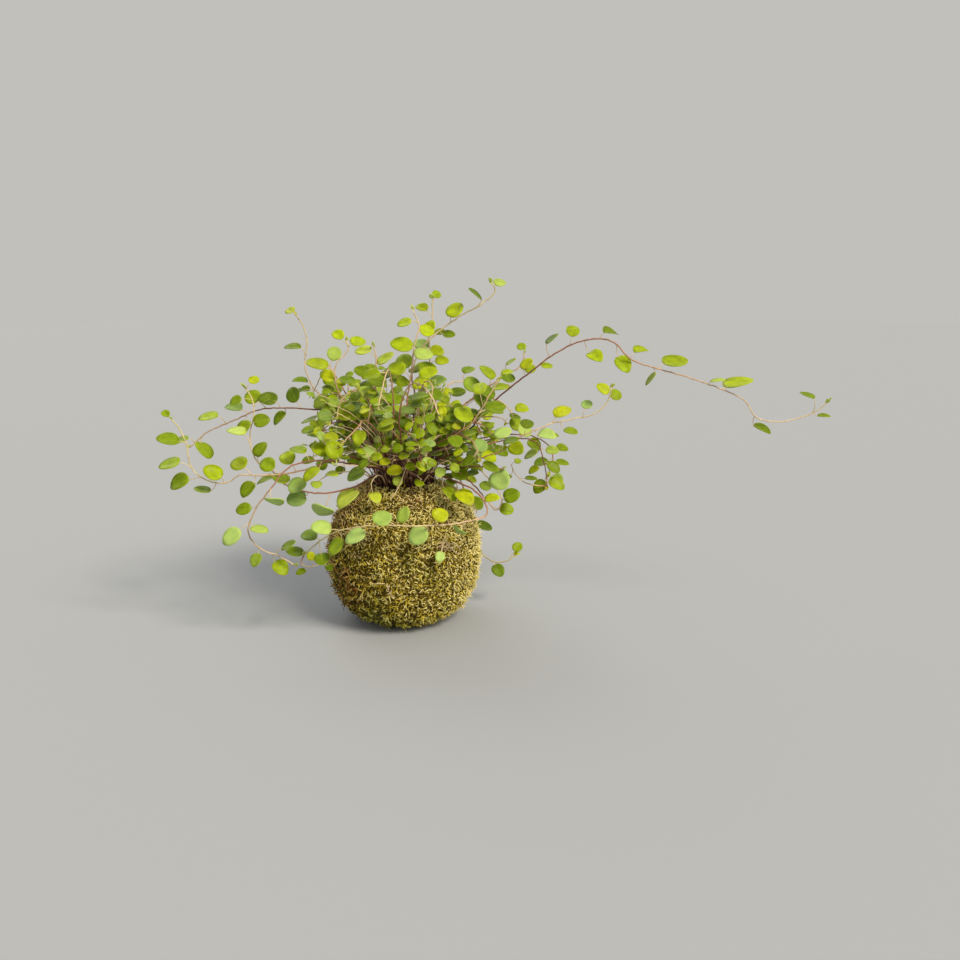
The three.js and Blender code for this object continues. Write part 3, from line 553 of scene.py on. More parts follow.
def make_leaf_material():
    """Waxy green leaf: lime on top from young to mature, a pale rim and midrib, fine side veins, and a paler,
    duller underside. It is thin, so light comes through it a little."""
    material, tree, shader = new_material("vine_leaf")
    place = add(tree, "TexCoord").outputs["Object"]
    mark = add(tree, "SeparateColor", {0: add(tree, "Attribute", attribute_name="mark").outputs["Color"]})
    tone = add(tree, "SeparateColor", {0: add(tree, "Attribute", attribute_name="tone").outputs["Color"]})
    green = add(
        tree, "ValToRGB", {0: tone.outputs[0]},
        [(0, "#B4B814"), (1, "#5F780C"), (0.25, "#A1B20C"), (0.5, "#8CA20A"), (0.75, "#768E0A")],
    )
    # Cloudy patches a few millimetres wide, so that no leaf is one even green
    patches = add(
        tree, "TexNoise", {"Vector": place, "Scale": scale_of(3.85), "Detail": 3, "Roughness": 0.55}
    )
    cloud = add(tree, "MapRange", {0: patches.outputs[0], 1: 0.3, 2: 0.7, 3: 0.78, 4: 1.16})
    bright = add(tree, "MapRange", {0: tone.outputs[1], 3: 0.72, 4: 1.12})
    value = add(tree, "Math", {0: cloud.outputs[0], 1: bright.outputs[0]}, operation="MULTIPLY")
    lit = add(tree, "HueSaturation", {"Value": value.outputs[0], "Color": green.outputs[0]})
    # Half the distance from the midrib, 0 to 0.5
    off_rib = add(tree, "Math", {0: mark.outputs[0], 1: 0.5}, operation="SUBTRACT")
    aside = add(tree, "Math", {0: off_rib.outputs[0]}, operation="ABSOLUTE")
    rib = add(
        tree, "MapRange", {0: aside.outputs[0], 1: 0.012, 2: 0.05, 3: 1, 4: 0},
        interpolation_type="SMOOTHSTEP",
    )
    # Side veins run forward from the midrib, 1.9 mm apart on a blade 14 mm long. A wave of scale 1 has a band
    # every tau / 20
    forward = add(tree, "Math", {0: aside.outputs[0], 1: -0.9, 2: mark.outputs[1]}, operation="MULTIPLY_ADD")
    vein_place = add(tree, "CombineXYZ", {0: forward.outputs[0]})
    waves = add(tree, "TexWave", {"Vector": vein_place.outputs[0], "Scale": math.tau / 20 * 14 / 1.9})
    fine = add(tree, "MapRange", {0: waves.outputs[1], 1: 0.86, 2: 1, 3: 0, 4: 0.4})
    veins = add(tree, "Math", {0: rib.outputs[0], 1: fine.outputs[0]}, operation="MAXIMUM")
    vein_share = add(tree, "Math", {0: veins.outputs[0], 1: 0.13}, operation="MULTIPLY")
    veined = add(
        tree, "Mix", {0: vein_share.outputs[0], 6: lit.outputs[0], 7: colour("#C8D04C")}, data_type="RGBA"
    )
    # The rim: far from the blade's middle
    ahead = add(tree, "Math", {0: mark.outputs[1], 1: 0.5}, operation="SUBTRACT")
    flat = add(tree, "CombineXYZ", {0: off_rib.outputs[0], 1: ahead.outputs[0]})
    reach = add(tree, "VectorMath", {0: flat.outputs[0]}, operation="LENGTH")
    rim = add(tree, "MapRange", {0: reach.outputs["Value"], 1: 0.45, 2: 0.5, 3: 0, 4: 0.3})
    rimmed = add(
        tree, "Mix", {0: rim.outputs[0], 6: veined.outputs[2], 7: colour("#C2B83A")}, data_type="RGBA"
    )
    pale = add(tree, "HueSaturation", {"Saturation": 0.85, "Value": 1.08, "Color": rimmed.outputs[2]})
    milky = add(tree, "Mix", {0: 0.5, 6: pale.outputs[0], 7: colour("#B2D688")}, data_type="RGBA")
    # Some upper sides are painted as pale as the undersides: a painted sheen, as of sky reflected in their
    # wax
    paleness = add(tree, "Math", {0: mark.outputs[2], 1: tone.outputs[2]}, operation="MAXIMUM")
    sides = add(
        tree, "Mix", {0: paleness.outputs[0], 6: rimmed.outputs[2], 7: milky.outputs[2]}, data_type="RGBA"
    )
    dull = add(tree, "MapRange", {0: mark.outputs[2], 3: 0.4, 4: 0.62})
    # The skin's cells, 0.05 mm wide, are too fine to show. Drawn at 0.45 mm they break up the shine
    grain = add(tree, "TexNoise", {"Vector": place, "Scale": scale_of(0.45), "Detail": 2})
    height = add(tree, "Math", {0: veins.outputs[0], 1: -0.6, 2: grain.outputs[0]}, operation="MULTIPLY_ADD")
    bump = add(tree, "Bump", {"Strength": 0.25, "Distance": 0.2 * MM, "Height": height.outputs[0]})
    connect(tree, shader, Base_Color=sides.outputs[2], Roughness=dull.outputs[0], Normal=bump.outputs[0])
    shader.inputs["Specular IOR Level"].default_value = 0.14
    shader.inputs["Subsurface Weight"].default_value = 0.35
    shader.inputs["Subsurface Radius"].default_value = (1, 1, 0.25)
    shader.inputs["Subsurface Scale"].default_value = 0.8 * MM
    return material


def make_bark_material():
    """Wiry bark: pale tan on young shoots, reddish brown further down and nearly black at the foot, with
    darker flecks and a faintly ridged skin."""
    material, tree, shader = new_material("vine_bark")
    place = add(tree, "TexCoord").outputs["Object"]
    tone = add(tree, "SeparateColor", {0: add(tree, "Attribute", attribute_name="tone").outputs["Color"]})
    aged = add(
        tree, "ValToRGB", {0: tone.outputs[0]},
        [(0, "#CDBF80"), (1, "#2A1A12"), (0.16, "#E0C49C"), (0.42, "#A9745A"), (0.68, "#67392A")],
    )
    # Flecks about 2 mm apart
    flecks = add(tree, "TexNoise", {"Vector": place, "Scale": scale_of(1.9), "Detail": 4, "Roughness": 0.6})
    fleck_value = add(tree, "MapRange", {0: flecks.outputs[0], 1: 0.32, 2: 0.68, 3: 0.8, 4: 1.14})
    bright = add(tree, "MapRange", {0: tone.outputs[1], 3: 0.85, 4: 1.15})
    value = add(tree, "Math", {0: fleck_value.outputs[0], 1: bright.outputs[0]}, operation="MULTIPLY")
    skin = add(tree, "HueSaturation", {"Value": value.outputs[0], "Color": aged.outputs[0]})
    # The ridges, 0.2 mm apart, are too fine to show. Drawn at 0.6 mm they roughen the skin
    ridges = add(tree, "TexNoise", {"Vector": place, "Scale": scale_of(0.6), "Detail": 3})
    bump = add(tree, "Bump", {"Strength": 0.5, "Distance": 0.3 * MM, "Height": ridges.outputs[0]})
    rough = add(tree, "MapRange", {0: flecks.outputs[0], 3: 0.5, 4: 0.8})
    connect(tree, shader, Base_Color=skin.outputs[0], Roughness=rough.outputs[0], Normal=bump.outputs[0])
    shader.inputs["Specular IOR Level"].default_value = 0.35
    return material


def moss_patches(tree, place):
    """Where the moss is brown and dry, and where it is green and darker, each from 0 to 1, in patches some 30
    mm apart. It stays greener and darker low down and to the left, partly its own damp green and partly
    painted shade on the side away from the light, and browns first near the mouth on the left."""
    dry = add(tree, "TexNoise", {"Vector": place, "Scale": scale_of(26.3), "Detail": 3, "Roughness": 0.6})
    moved = add(tree, "VectorMath", {0: place, 1: (0.31, 0.17, 0.05)}, operation="ADD")
    lush = add(
        tree, "TexNoise",
        {"Vector": moved.outputs[0], "Scale": scale_of(33.3), "Detail": 3, "Roughness": 0.55},
    )
    # Greener and darker to the left and low down: partly painted shade, on the side away from the light
    left_and_low = add(tree, "VectorMath", {0: place, 1: (-2.2, 0, -3.6)}, operation="DOT_PRODUCT")
    damp_and_shaded = add(tree, "Math", {0: lush.outputs[0], 1: left_and_low.outputs["Value"]}, operation="ADD")
    high = add(tree, "VectorMath", {0: place, 1: (-3.6, 0, 1.6)}, operation="DOT_PRODUCT")
    parched = add(tree, "Math", {0: dry.outputs[0], 1: high.outputs["Value"]}, operation="ADD")
    brown = add(tree, "MapRange", {0: parched.outputs[0], 1: 0.64, 2: 0.82, 3: 0, 4: 1})
    green = add(tree, "MapRange", {0: damp_and_shaded.outputs[0], 1: 0.36, 2: 0.56, 3: 0, 4: 1})
    return brown.outputs[0], green.outputs[0]


def make_moss_material():
    """Curly moss strands: dark olive at the root and dry gold at the tip, some greener, some rusty brown. The
    dark roots are partly painted shade and the palest tips partly a painted highlight.
    """
    material, tree, shader = new_material("moss_strands")
    place = add(tree, "TexCoord").outputs["Object"]
    mark = add(tree, "SeparateColor", {0: add(tree, "Attribute", attribute_name="mark").outputs["Color"]})
    tone = add(tree, "SeparateColor", {0: add(tree, "Attribute", attribute_name="tone").outputs["Color"]})
    # It is painted paler towards the top and the right: painted light where the sun falls on the ball
    painted_light = add(tree, "VectorMath", {0: place, 1: (7, 0, 7)}, operation="DOT_PRODUCT")
    base = add(tree, "Math", {0: painted_light.outputs["Value"], 1: 0.41}, operation="SUBTRACT")
    lift = add(tree, "Math", {0: tone.outputs[0], 1: 0.95, 2: base.outputs[0]}, operation="MULTIPLY_ADD")
    strand = add(tree, "Math", {0: mark.outputs[1], 1: 0.35, 2: lift.outputs[0]}, operation="MULTIPLY_ADD")
    # Darker towards each strand's root and paler towards its tip: partly the strand's own colour, partly
    # painted shade deep among the strands and a painted highlight on the palest tips
    along = add(tree, "Math", {0: mark.outputs[0], 1: 0.6, 2: strand.outputs[0]}, operation="MULTIPLY_ADD")
    gold = add(
        tree, "ValToRGB", {0: along.outputs[0]},
        [(0, "#281E04"), (1, "#FFF0A0"), (0.18, "#84700E"), (0.4, "#C4AA24"), (0.65, "#EBD554")],
    )
    fresh = add(
        tree, "ValToRGB", {0: along.outputs[0]},
        [(0, "#181E04"), (1, "#F0EE88"), (0.2, "#525A0A"), (0.42, "#8E921C"), (0.68, "#C9C944")],
    )
    rusty = add(
        tree, "ValToRGB", {0: along.outputs[0]},
        [(0, "#2A1608"), (1, "#F2D69C"), (0.2, "#7C4A1A"), (0.42, "#B27E34"), (0.68, "#D8AE60")],
    )
    brown, green = moss_patches(tree, place)
    greener = add(tree, "Math", {0: green, 1: 0.8}, operation="MULTIPLY")
    first = add(
        tree, "Mix", {0: greener.outputs[0], 6: gold.outputs[0], 7: fresh.outputs[0]}, data_type="RGBA"
    )
    chance = add(tree, "Math", {0: tone.outputs[1], 1: brown}, operation="MULTIPLY")
    sure = add(tree, "MapRange", {0: chance.outputs[0], 1: 0.1, 2: 0.4, 3: 0, 4: 1})
    second = add(
        tree, "Mix", {0: sure.outputs[0], 6: first.outputs[2], 7: rusty.outputs[0]}, data_type="RGBA"
    )
    # The strands' cells, 0.04 mm wide, are too fine to show. Drawn at 0.38 mm they break up the shine
    grain = add(tree, "TexNoise", {"Vector": place, "Scale": scale_of(0.38), "Detail": 2})
    bump = add(tree, "Bump", {"Strength": 0.4, "Distance": 0.2 * MM, "Height": grain.outputs[0]})
    rough = add(tree, "MapRange", {0: grain.outputs[0], 3: 0.5, 4: 0.8})
    connect(tree, shader, Base_Color=second.outputs[2], Roughness=rough.outputs[0], Normal=bump.outputs[0])
    shader.inputs["Specular IOR Level"].default_value = 0.18
    return material


def make_moss_bed_material():
    """The felted bed under the strands: matted olive and brown, darker partly in its own colour and partly as
    painted shade deep under the strands.
    """
    material, tree, shader = new_material("moss_bed")
    place = add(tree, "TexCoord").outputs["Object"]
    brown, green = moss_patches(tree, place)
    # Leaf tips of the undergrowth, about 1 mm apart, in a mat that is uneven over 1.6 mm
    tips = add(tree, "TexVoronoi", {"Vector": place, "Scale": scale_of(1.05)})
    uneven = add(tree, "TexNoise", {"Vector": place, "Scale": scale_of(1.6), "Detail": 5, "Roughness": 0.75})
    mat = add(tree, "Math", {0: tips.outputs[0], 1: -0.55, 2: uneven.outputs[0]}, operation="MULTIPLY_ADD")
    # Darker where the mat lies low between the tips: painted shade in its hollows, the tips paler olive
    olive = add(
        tree, "ValToRGB", {0: mat.outputs[0]},
        [(0.05, "#241B07"), (0.5, "#B7A23E"), (0.28, "#695819")],
    )
    # Darker olive where the moss is green: partly its own colour, partly painted shade low down on the left
    shaded = add(tree, "Math", {0: green, 1: 0.5}, operation="MULTIPLY")
    fresh = add(
        tree, "Mix", {0: shaded.outputs[0], 6: olive.outputs[0], 7: colour("#3E4216")}, data_type="RGBA"
    )
    dusty = add(tree, "Math", {0: brown, 1: 0.55}, operation="MULTIPLY")
    rusty = add(
        tree, "Mix", {0: dusty.outputs[0], 6: fresh.outputs[2], 7: colour("#3E2A17")}, data_type="RGBA"
    )
    bump = add(tree, "Bump", {"Strength": 0.9, "Distance": 1 * MM, "Height": mat.outputs[0]})
    rough = add(tree, "MapRange", {0: uneven.outputs[0], 3: 0.8, 4: 0.98})
    connect(tree, shader, Base_Color=rusty.outputs[2], Roughness=rough.outputs[0], Normal=bump.outputs[0])
    shader.inputs["Specular IOR Level"].default_value = 0.15
    return material


def make_soil_material():
    """Damp clay soil: crumbs a few millimetres wide, dark brown with paler dry grains."""
    material, tree, shader = new_material("damp_soil")
    place = add(tree, "TexCoord").outputs["Object"]
    # Crumbs 2.4 mm wide, with sand grains of 1.1 mm
    crumbs = add(tree, "TexVoronoi", {"Vector": place, "Scale": scale_of(2.4)})
    grains = add(tree, "TexNoise", {"Vector": place, "Scale": scale_of(1.1), "Detail": 5, "Roughness": 0.7})
    height = add(
        tree, "Math", {0: crumbs.outputs[0], 1: -0.8, 2: grains.outputs[0]}, operation="MULTIPLY_ADD"
    )
    earth = add(
        tree, "ValToRGB", {0: grains.outputs[0]},
        [(0.3, "#1E130C"), (0.78, "#7A6248"), (0.55, "#3B2A1E")],
    )
    bump = add(tree, "Bump", {"Strength": 1, "Distance": 1.2 * MM, "Height": height.outputs[0]})
    rough = add(tree, "MapRange", {0: grains.outputs[0], 3: 0.75, 4: 0.98})
    connect(tree, shader, Base_Color=earth.outputs[0], Roughness=rough.outputs[0], Normal=bump.outputs[0])
    shader.inputs["Specular IOR Level"].default_value = 0.2
    return material


leaf_material, bark_material = make_leaf_material(), make_bark_material()
moss_material, moss_bed_material = make_moss_material(), make_moss_bed_material()
soil_material = make_soil_material()


# Shapes

# The place of a part that has one copy, and the number of each material in a piece of stems and leaves
ONE_PLACE = np.eye(4)[None]
BARK, LEAF = 0, 1


def closed_mesh(bm, name):
    """Ends a shape: merges its doubles and turns its faces outwards."""
    bmesh.ops.remove_doubles(bm, verts=bm.verts, dist=1e-6)
    bmesh.ops.recalc_face_normals(bm, faces=bm.faces)
    mesh = bpy.data.meshes.new(name)
    bm.to_mesh(mesh)
    bm.free()
    return mesh


def leaf_blade(width, fold, curl, cup, heart, point, faces=(4, 5)):
    """A thin blade one unit long, along +Y from its stalk, with its upper side to +Z. Its marks are the place
    across and along the blade, and 1 on the underside. faces: how many it has across and along."""
    bm = bmesh.new()
    bmesh.ops.create_grid(bm, x_segments=faces[0], y_segments=faces[1], size=1)
    mark = bm.verts.layers.float_color.new("mark")
    for vert in bm.verts:
        x, y = vert.co.x * math.sqrt(1 - vert.co.y**2 / 2), vert.co.y * math.sqrt(1 - vert.co.x**2 / 2)
        vert[mark] = ((x + 1) / 2, (y + 1) / 2, 0, 1)
        across = x * width / 2 * (1 - 0.13 * y)
        ahead = (1 + y) / 2
        pulled = ahead - heart * abs(x) * (1 - ahead) ** 3 + point * max(0, ahead - 0.7) * (1 - 2 * abs(x))
        lift = fold * math.sqrt(across**2 + 0.0006) + cup * (x * x + y * y - 1) - curl * ahead**2
        vert.co = (across, pulled, lift)
    upper = list(bm.verts)
    bmesh.ops.solidify(bm, geom=bm.faces, thickness=0.032)
    lower = [vert for vert in bm.verts if vert not in upper]
    if sum(v.co.z for v in lower) > sum(v.co.z for v in upper):
        upper, lower = lower, upper
    for vert in lower:
        vert[mark] = (vert[mark][0], vert[mark][1], 1, 1)
    bmesh.ops.recalc_face_normals(bm, faces=bm.faces)
    for face in bm.faces:
        face.smooth = abs(face.normal.z) > 0.5
    return closed_mesh(bm, "leaf_blade")


def moss_sprig(seed, stand, reach=1, cuts=1):
    """A few curly strands from one root, each three-sided and thin at its tip. stand is how upright they are,
    from 0 to 1, and reach how long. Their marks are the place along a strand and the strand's own shade."""
    draw = seeded(seed)
    bm = bmesh.new()
    mark = bm.verts.layers.float_color.new("mark")
    for number in range(5):
        before = set(bm.verts)
        made = bmesh.ops.create_cone(
            bm, cap_ends=True, segments=3, radius1=0.17 / reach**0.4, radius2=0.05, depth=1,
            matrix=Matrix.Translation((0, 0, 0.5)),
        )
        edges = {edge for vert in made["verts"] for edge in vert.link_edges}
        long_edges = [edge for edge in edges if abs(edge.verts[0].co.z - edge.verts[1].co.z) > 0.5]
        bmesh.ops.subdivide_edges(bm, edges=long_edges, cuts=cuts)
        first = math.radians(8 + 50 * draw())
        last = first + math.radians((1 - stand) * (25 + 75 * draw() * draw()) + 8)
        length, shade = reach * (0.5 + 0.75 * draw()), draw()
        turn = Matrix.Rotation(number * GOLDEN_ANGLE * 1.3 + draw() * 2, 4, "Z")
        root = Vector((0.5 * draw() - 0.25, 0.5 * draw() - 0.25, -0.12 * draw()))
        strand = [v for v in bm.verts if v not in before]
        for vert in strand:
            share = vert.co.z
            angle = first + (last - first) * share
            middle = Vector((math.cos(first) - math.cos(angle), 0, math.sin(angle) - math.sin(first)))
            side = Matrix.Rotation(angle, 3, "Y") @ Vector((0.5 * vert.co.x, vert.co.y, 0))
            vert.co = turn @ (middle * (length / (last - first)) + side) + root
            vert[mark] = (share, shade, 0, 1)
    for face in bm.faces:
        face.smooth = True
    return closed_mesh(bm, "moss_sprig")


def wood_of(lines, corners=1):
    """A part of round stalks along lines, closed at both ends. Each line is its points, their radii and their
    tones. corners: how many more each quarter of a stalk has."""
    curve = bpy.data.curves.new("wood", "CURVE")
    curve.dimensions = "3D"
    curve.bevel_depth = 1
    curve.bevel_resolution = corners
    for points, radii, _ in lines:
        spline = curve.splines.new("POLY")
        spline.points.add(len(points) - 1)
        spline.points.foreach_set("co", np.hstack([points, np.ones((len(points), 1))]).ravel())
        spline.points.foreach_set("radius", np.array(radii, float))
    holder = bpy.data.objects.new("wood", curve)
    bm = bmesh.new()
    bm.from_mesh(bpy.data.meshes.new_from_object(holder))
    bpy.data.objects.remove(holder)
    bmesh.ops.holes_fill(bm, edges=[edge for edge in bm.edges if edge.is_boundary])
    for face in bm.faces:
        face.smooth = True
    mesh = closed_mesh(bm, "wood")
    tones = np.vstack([tone for _, _, tone in lines])
    return mesh, ONE_PLACE, BARK, np.repeat(tones, len(mesh.vertices) // len(tones), axis=0)


def values_of(items, name, width, kind):
    """One property of many items as an array, with a row for each when it is wider than one number."""
    values = np.empty(len(items) * width, kind)
    items.foreach_get(name, values)
    return values.reshape(-1, width) if width > 1 else values


def gather(name, parts):
    """One mesh of many copies of small ones. A part is a mesh, a 4x4 place for each copy, the number of its
    material, and tones: a row for each copy, or for each point of the only copy."""
    points, corners, sizes, smooth, slots, marks, tones = ([] for _ in range(7))
    first = 0
    for mesh, places, slot, tone in parts:
        own, count = values_of(mesh.vertices, "co", 3, float), len(places)
        placed = np.einsum("mij,nj->mni", places[:, :3, :3], own) + places[:, None, :3, 3]
        points.append(placed.reshape(-1, 3))
        starts = first + len(own) * np.arange(count)
        corners.append((values_of(mesh.loops, "vertex_index", 1, np.int32) + starts[:, None]).ravel())
        sizes.append(np.tile(values_of(mesh.polygons, "loop_total", 1, np.int32), count))
        smooth.append(np.tile(values_of(mesh.polygons, "use_smooth", 1, bool), count))
        slots.append(np.full(len(sizes[-1]), slot, np.int32))
        own_marks = mesh.attributes.get("mark")
        own_marks = values_of(own_marks.data, "color", 4, float) if own_marks else np.zeros((len(own), 4))
        marks.append(np.tile(own_marks, (count, 1)))
        tones.append(np.asarray(tone) if len(tone) == len(own) * count else np.repeat(tone, len(own), axis=0))
        first += len(own) * count
    mesh = bpy.data.meshes.new(name)
    points, corners, sizes = np.vstack(points), np.concatenate(corners), np.concatenate(sizes)
    mesh.vertices.add(len(points))
    mesh.vertices.foreach_set("co", (points * MM).ravel())
    mesh.loops.add(len(corners))
    mesh.loops.foreach_set("vertex_index", corners.astype(np.int32))
    mesh.polygons.add(len(sizes))
    mesh.polygons.foreach_set("loop_start", (np.cumsum(sizes) - sizes).astype(np.int32))
    mesh.polygons.foreach_set("use_smooth", np.concatenate(smooth))
    mesh.polygons.foreach_set("material_index", np.concatenate(slots))
    for layer, values in (("mark", marks), ("tone", tones)):
        attribute = mesh.attributes.new(layer, "FLOAT_COLOR", "POINT")
        attribute.data.foreach_set("color", np.vstack(values).ravel())
    mesh.update(calc_edges=True)
    return mesh


def show(name, mesh, materials, replaced=()):
    """Puts a piece in the scene with its materials, in place of the nodes that it replaces."""
    piece = bpy.data.objects.new(name, mesh)
    bpy.context.scene.collection.objects.link(piece)
    for material in materials:
        mesh.materials.append(material)
    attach(piece, "root")
    if replaced:
        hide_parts(*replaced)


def places_of(origins, sides, alongs, normals, scales):
    """A 4x4 place for each copy of a shape: its axes, their scale and its origin."""
    places = np.zeros((len(origins), 4, 4))
    for column, axis in enumerate((sides, alongs, normals)):
        places[:, :3, column] = np.asarray(axis) * np.asarray(scales)[:, None]
    places[:, :3, 3], places[:, 3, 3] = origins, 1
    return places


# The vine

BLADES = [
    leaf_blade(0.88, 0.16, 0.05, 0.03, 0.02, 0.03),
    leaf_blade(0.94, 0.10, 0.10, 0.05, 0.10, 0.0),
    leaf_blade(0.80, 0.30, 0.04, 0.00, 0.03, 0.06),
    leaf_blade(0.90, 0.12, -0.06, 0.06, 0.06, 0.0),
    leaf_blade(0.86, 0.20, 0.14, 0.02, 0.00, 0.04),
    leaf_blade(0.82, 0.45, 0.08, 0.00, 0.04, 0.05),
]
BUD_BLADE = BLADES[-1]
SMALL_BLADES = [
    leaf_blade(0.88, 0.16, 0.05, 0.03, 0.02, 0.03, (4, 3)),
    leaf_blade(0.92, 0.12, 0.10, 0.04, 0.08, 0.0, (4, 3)),
    leaf_blade(0.80, 0.32, 0.05, 0.00, 0.03, 0.06, (4, 3)),
    leaf_blade(0.86, 0.22, -0.06, 0.04, 0.03, 0.03, (4, 3)),
]
DRY_SCALE = leaf_blade(0.5, 0.6, 0.2, 0.0, 0.0, 0.1, (2, 2))

# Leaves that are brighter or paler than most, partly as painted light and sheen where the light falls on
# them:
# where each is seen, x and z, its ripeness and its painted sheen
TINTED_LEAVES = [
    (-25, 73, 0.35, 1), (13, 71, 0.3, 0.9), (-8, 82, 0.55, 0.6), (-44, 79, 0.3, 0.8), (-31, 88, 0.1, 0.35),
    (-98, 69, 0.35, 0.9), (-76, 90, 0.3, 0.8), (-83, 74, 0.35, 0.5), (5, 85, 0.4, 0.4),
    (26, 84, 0.1, 0), (41, 89, 0.12, 0), (40, 70, 0.5, 0), (-37, 62, 0.5, 0.1), (101, 138, 0.08, 0),
    (-46, 160, 0.12, 0), (62, 97, 0.4, 0.9), (199, 157, 0.3, 0.3), (214, 155, 0.3, 0),
    (34, 200, 0.25, 0), (1, 179, 0.35, 0), (-13, 168, 0.3, 0), (-28, 173, 0.22, 0), (-52, 144, 0.3, 0.2),
    (-39, 185, 0.25, 0), (-137, 125, 0.75, 0), (-133, 98, 0.8, 0), (-137, 111, 0.6, 0), (39, 138, 0.4, 0),
    (91, 124, 0.3, 0.9), (64, 125, 0.3, 0.9),
]
TINTED_LENGTH, TINTED_BACK, TINTED_NEAR = 8.5, 32, 4

# How far from its foot a stem's bark is mostly dark, in millimetres, where it isn't the usual length
DARK_LENGTHS = {
    "stem_long_right": 170, "stem_right_rising": 90, "stem_right_drooping": 130,
    "stem_right_drooping_back": 140, "stem_left_red": 120, "stem_left_hanging": 90, "stem_behind_right": 40,
    "stem_right_loop": 40, "dry_twig": 30,
}


def tones_of(ages, lights, count):
    """A row of tones for each of some points: the wood's age, from pale to dark, and its brightness."""
    tones = np.zeros((count, 4))
    tones[:, 0], tones[:, 1], tones[:, 3] = ages, lights, 1
    return tones


def stalk_line(leaf, root, age):
    """A leaf's stalk, from the stem into the blade's base along its midrib."""
    end = leaf.base + leaf.along * (0.1 * leaf.length) - leaf.normal * (0.012 * leaf.length)
    reach = np.linalg.norm(end - root)
    leave = unit(unit(end - root) - 0.45 * leaf.along + np.array([0, 0, 0.25])) * reach
    arrive = leaf.along * reach
    s = np.linspace(0, 1, 6)[:, None]
    points = (
        (2 * s**3 - 3 * s**2 + 1) * root + (s**3 - 2 * s**2 + s) * leave
        + (-2 * s**3 + 3 * s**2) * end + (s**3 - s**2) * arrive
    )
    thick = 0.16 + 0.011 * leaf.length
    return points, np.linspace(thick, thick * 0.62, 6), tones_of(np.linspace(age * 0.8, 0.12, 6), 0.6, 6)


def stem_line(stem, draw, thick=0.58, thin=0.36, old=0.97):
    """A stem's middle, a little thicker and bent at its knots, older and darker towards the foot."""
    count = max(8, math.ceil(stem.length / 2.2))
    shares = np.linspace(0, 1, count + 1)
    points = np.vstack([stem.foot, stem.at(shares)])
    radii = np.concatenate([[thick], thick + (thin - thick) * shares**0.8])
    wiry = np.array([any_way(draw) for _ in points]) * 0.5
    wiry[:3] = 0
    knots = np.where(np.arange(len(points)) % 7 == 3, 1.16, 1.0)
    distance = np.concatenate([[0], shares * stem.length])
    age = old * np.exp(-(distance / DARK_LENGTHS.get(stem.name, 62)) ** 1.3)
    return points + wiry, radii * knots, tones_of(age, [draw() for _ in points], len(points))


def leaf_tone(leaf, draw):
    """A leaf's ripeness, brightness and painted sheen, as of sky on its wax. Small leaves are younger."""
    young = max(0, 1 - leaf.length / 11)
    ripeness = min(1, max(0, 0.2 + 0.8 * draw() - 0.25 * young))
    # A few leaves are painted pale: a painted sheen, as of sky reflected in their wax
    bright, paleness = draw(), 0.85 * max(0, 1 - 8 * draw())
    if leaf.tint:
        return *leaf.tint, 1
    x, y, z = leaf.middle
    if leaf.length > TINTED_LENGTH and y < TINTED_BACK:
        for seen_x, seen_z, tinted, pale in TINTED_LEAVES:
            if math.hypot(x - seen_x, z - seen_z) < TINTED_NEAR:
                return tinted, 0.8, pale, 1
    return ripeness, bright, paleness, 1


def lay_leaves(leaves, draw, blades=BLADES):
    """The blades of some leaves, as parts to gather: of several forms, and each with a green of its own."""
    groups = [[] for _ in blades]
    for leaf in leaves:
        groups[int(draw() * len(blades)) % len(blades)].append(leaf)
    parts = []
    for blade, group in zip(blades, groups):
        if group:
            places = places_of(*fields_of(group, "base", "side", "along", "normal", "length"))
            parts.append((blade, places, LEAF, np.array([leaf_tone(leaf, draw) for leaf in group])))
    return parts


def tip_buds(stem, draw):
    """The two or three leaves at a stem's tip that have yet to open."""
    tip, forward = stem.at(1)[0], unit(stem.at(1)[0] - stem.at(1 - 4 / stem.length)[0])
    places, tones = [], []
    for n in range(2 + int(2 * draw())):
        along = unit(forward * 0.9 + any_way(draw, 0.2) * 1.5)
        side = unit(np.cross(along, steep(draw)))
        places.append((tip - forward * 0.9 * n, side, along, np.cross(side, along), 2.2 + 1.8 * draw()))
        tones.append((0.1 * draw(), 0.5 * draw(), 0.3 * draw(), 1))
    return BUD_BLADE, places_of(*(np.array(values) for values in zip(*places))), LEAF, np.array(tones)


def make_vines():
    """Each stem with its stalks, leaves and buds as one piece, in place of its solid."""
    draw = seeded(VINE_SEED)
    for stem in stems:
        leaves = [leaf for leaf in foliage.leaves if leaf.stem == stem.name]
        parts = [wood_of([stem_line(stem, draw)], corners=2)]
        stalks = [stalk_line(leaf, stem.at(leaf.share)[0], 0.5 * (1 - leaf.share)) for leaf in leaves]
        if stalks:
            parts.append(wood_of(stalks))
        parts += [*lay_leaves(leaves, draw), tip_buds(stem, draw)]
        mesh = gather(stem.name.replace("stem", "vine"), parts)
        show(mesh.name, mesh, [bark_material, leaf_material], [stem.name])


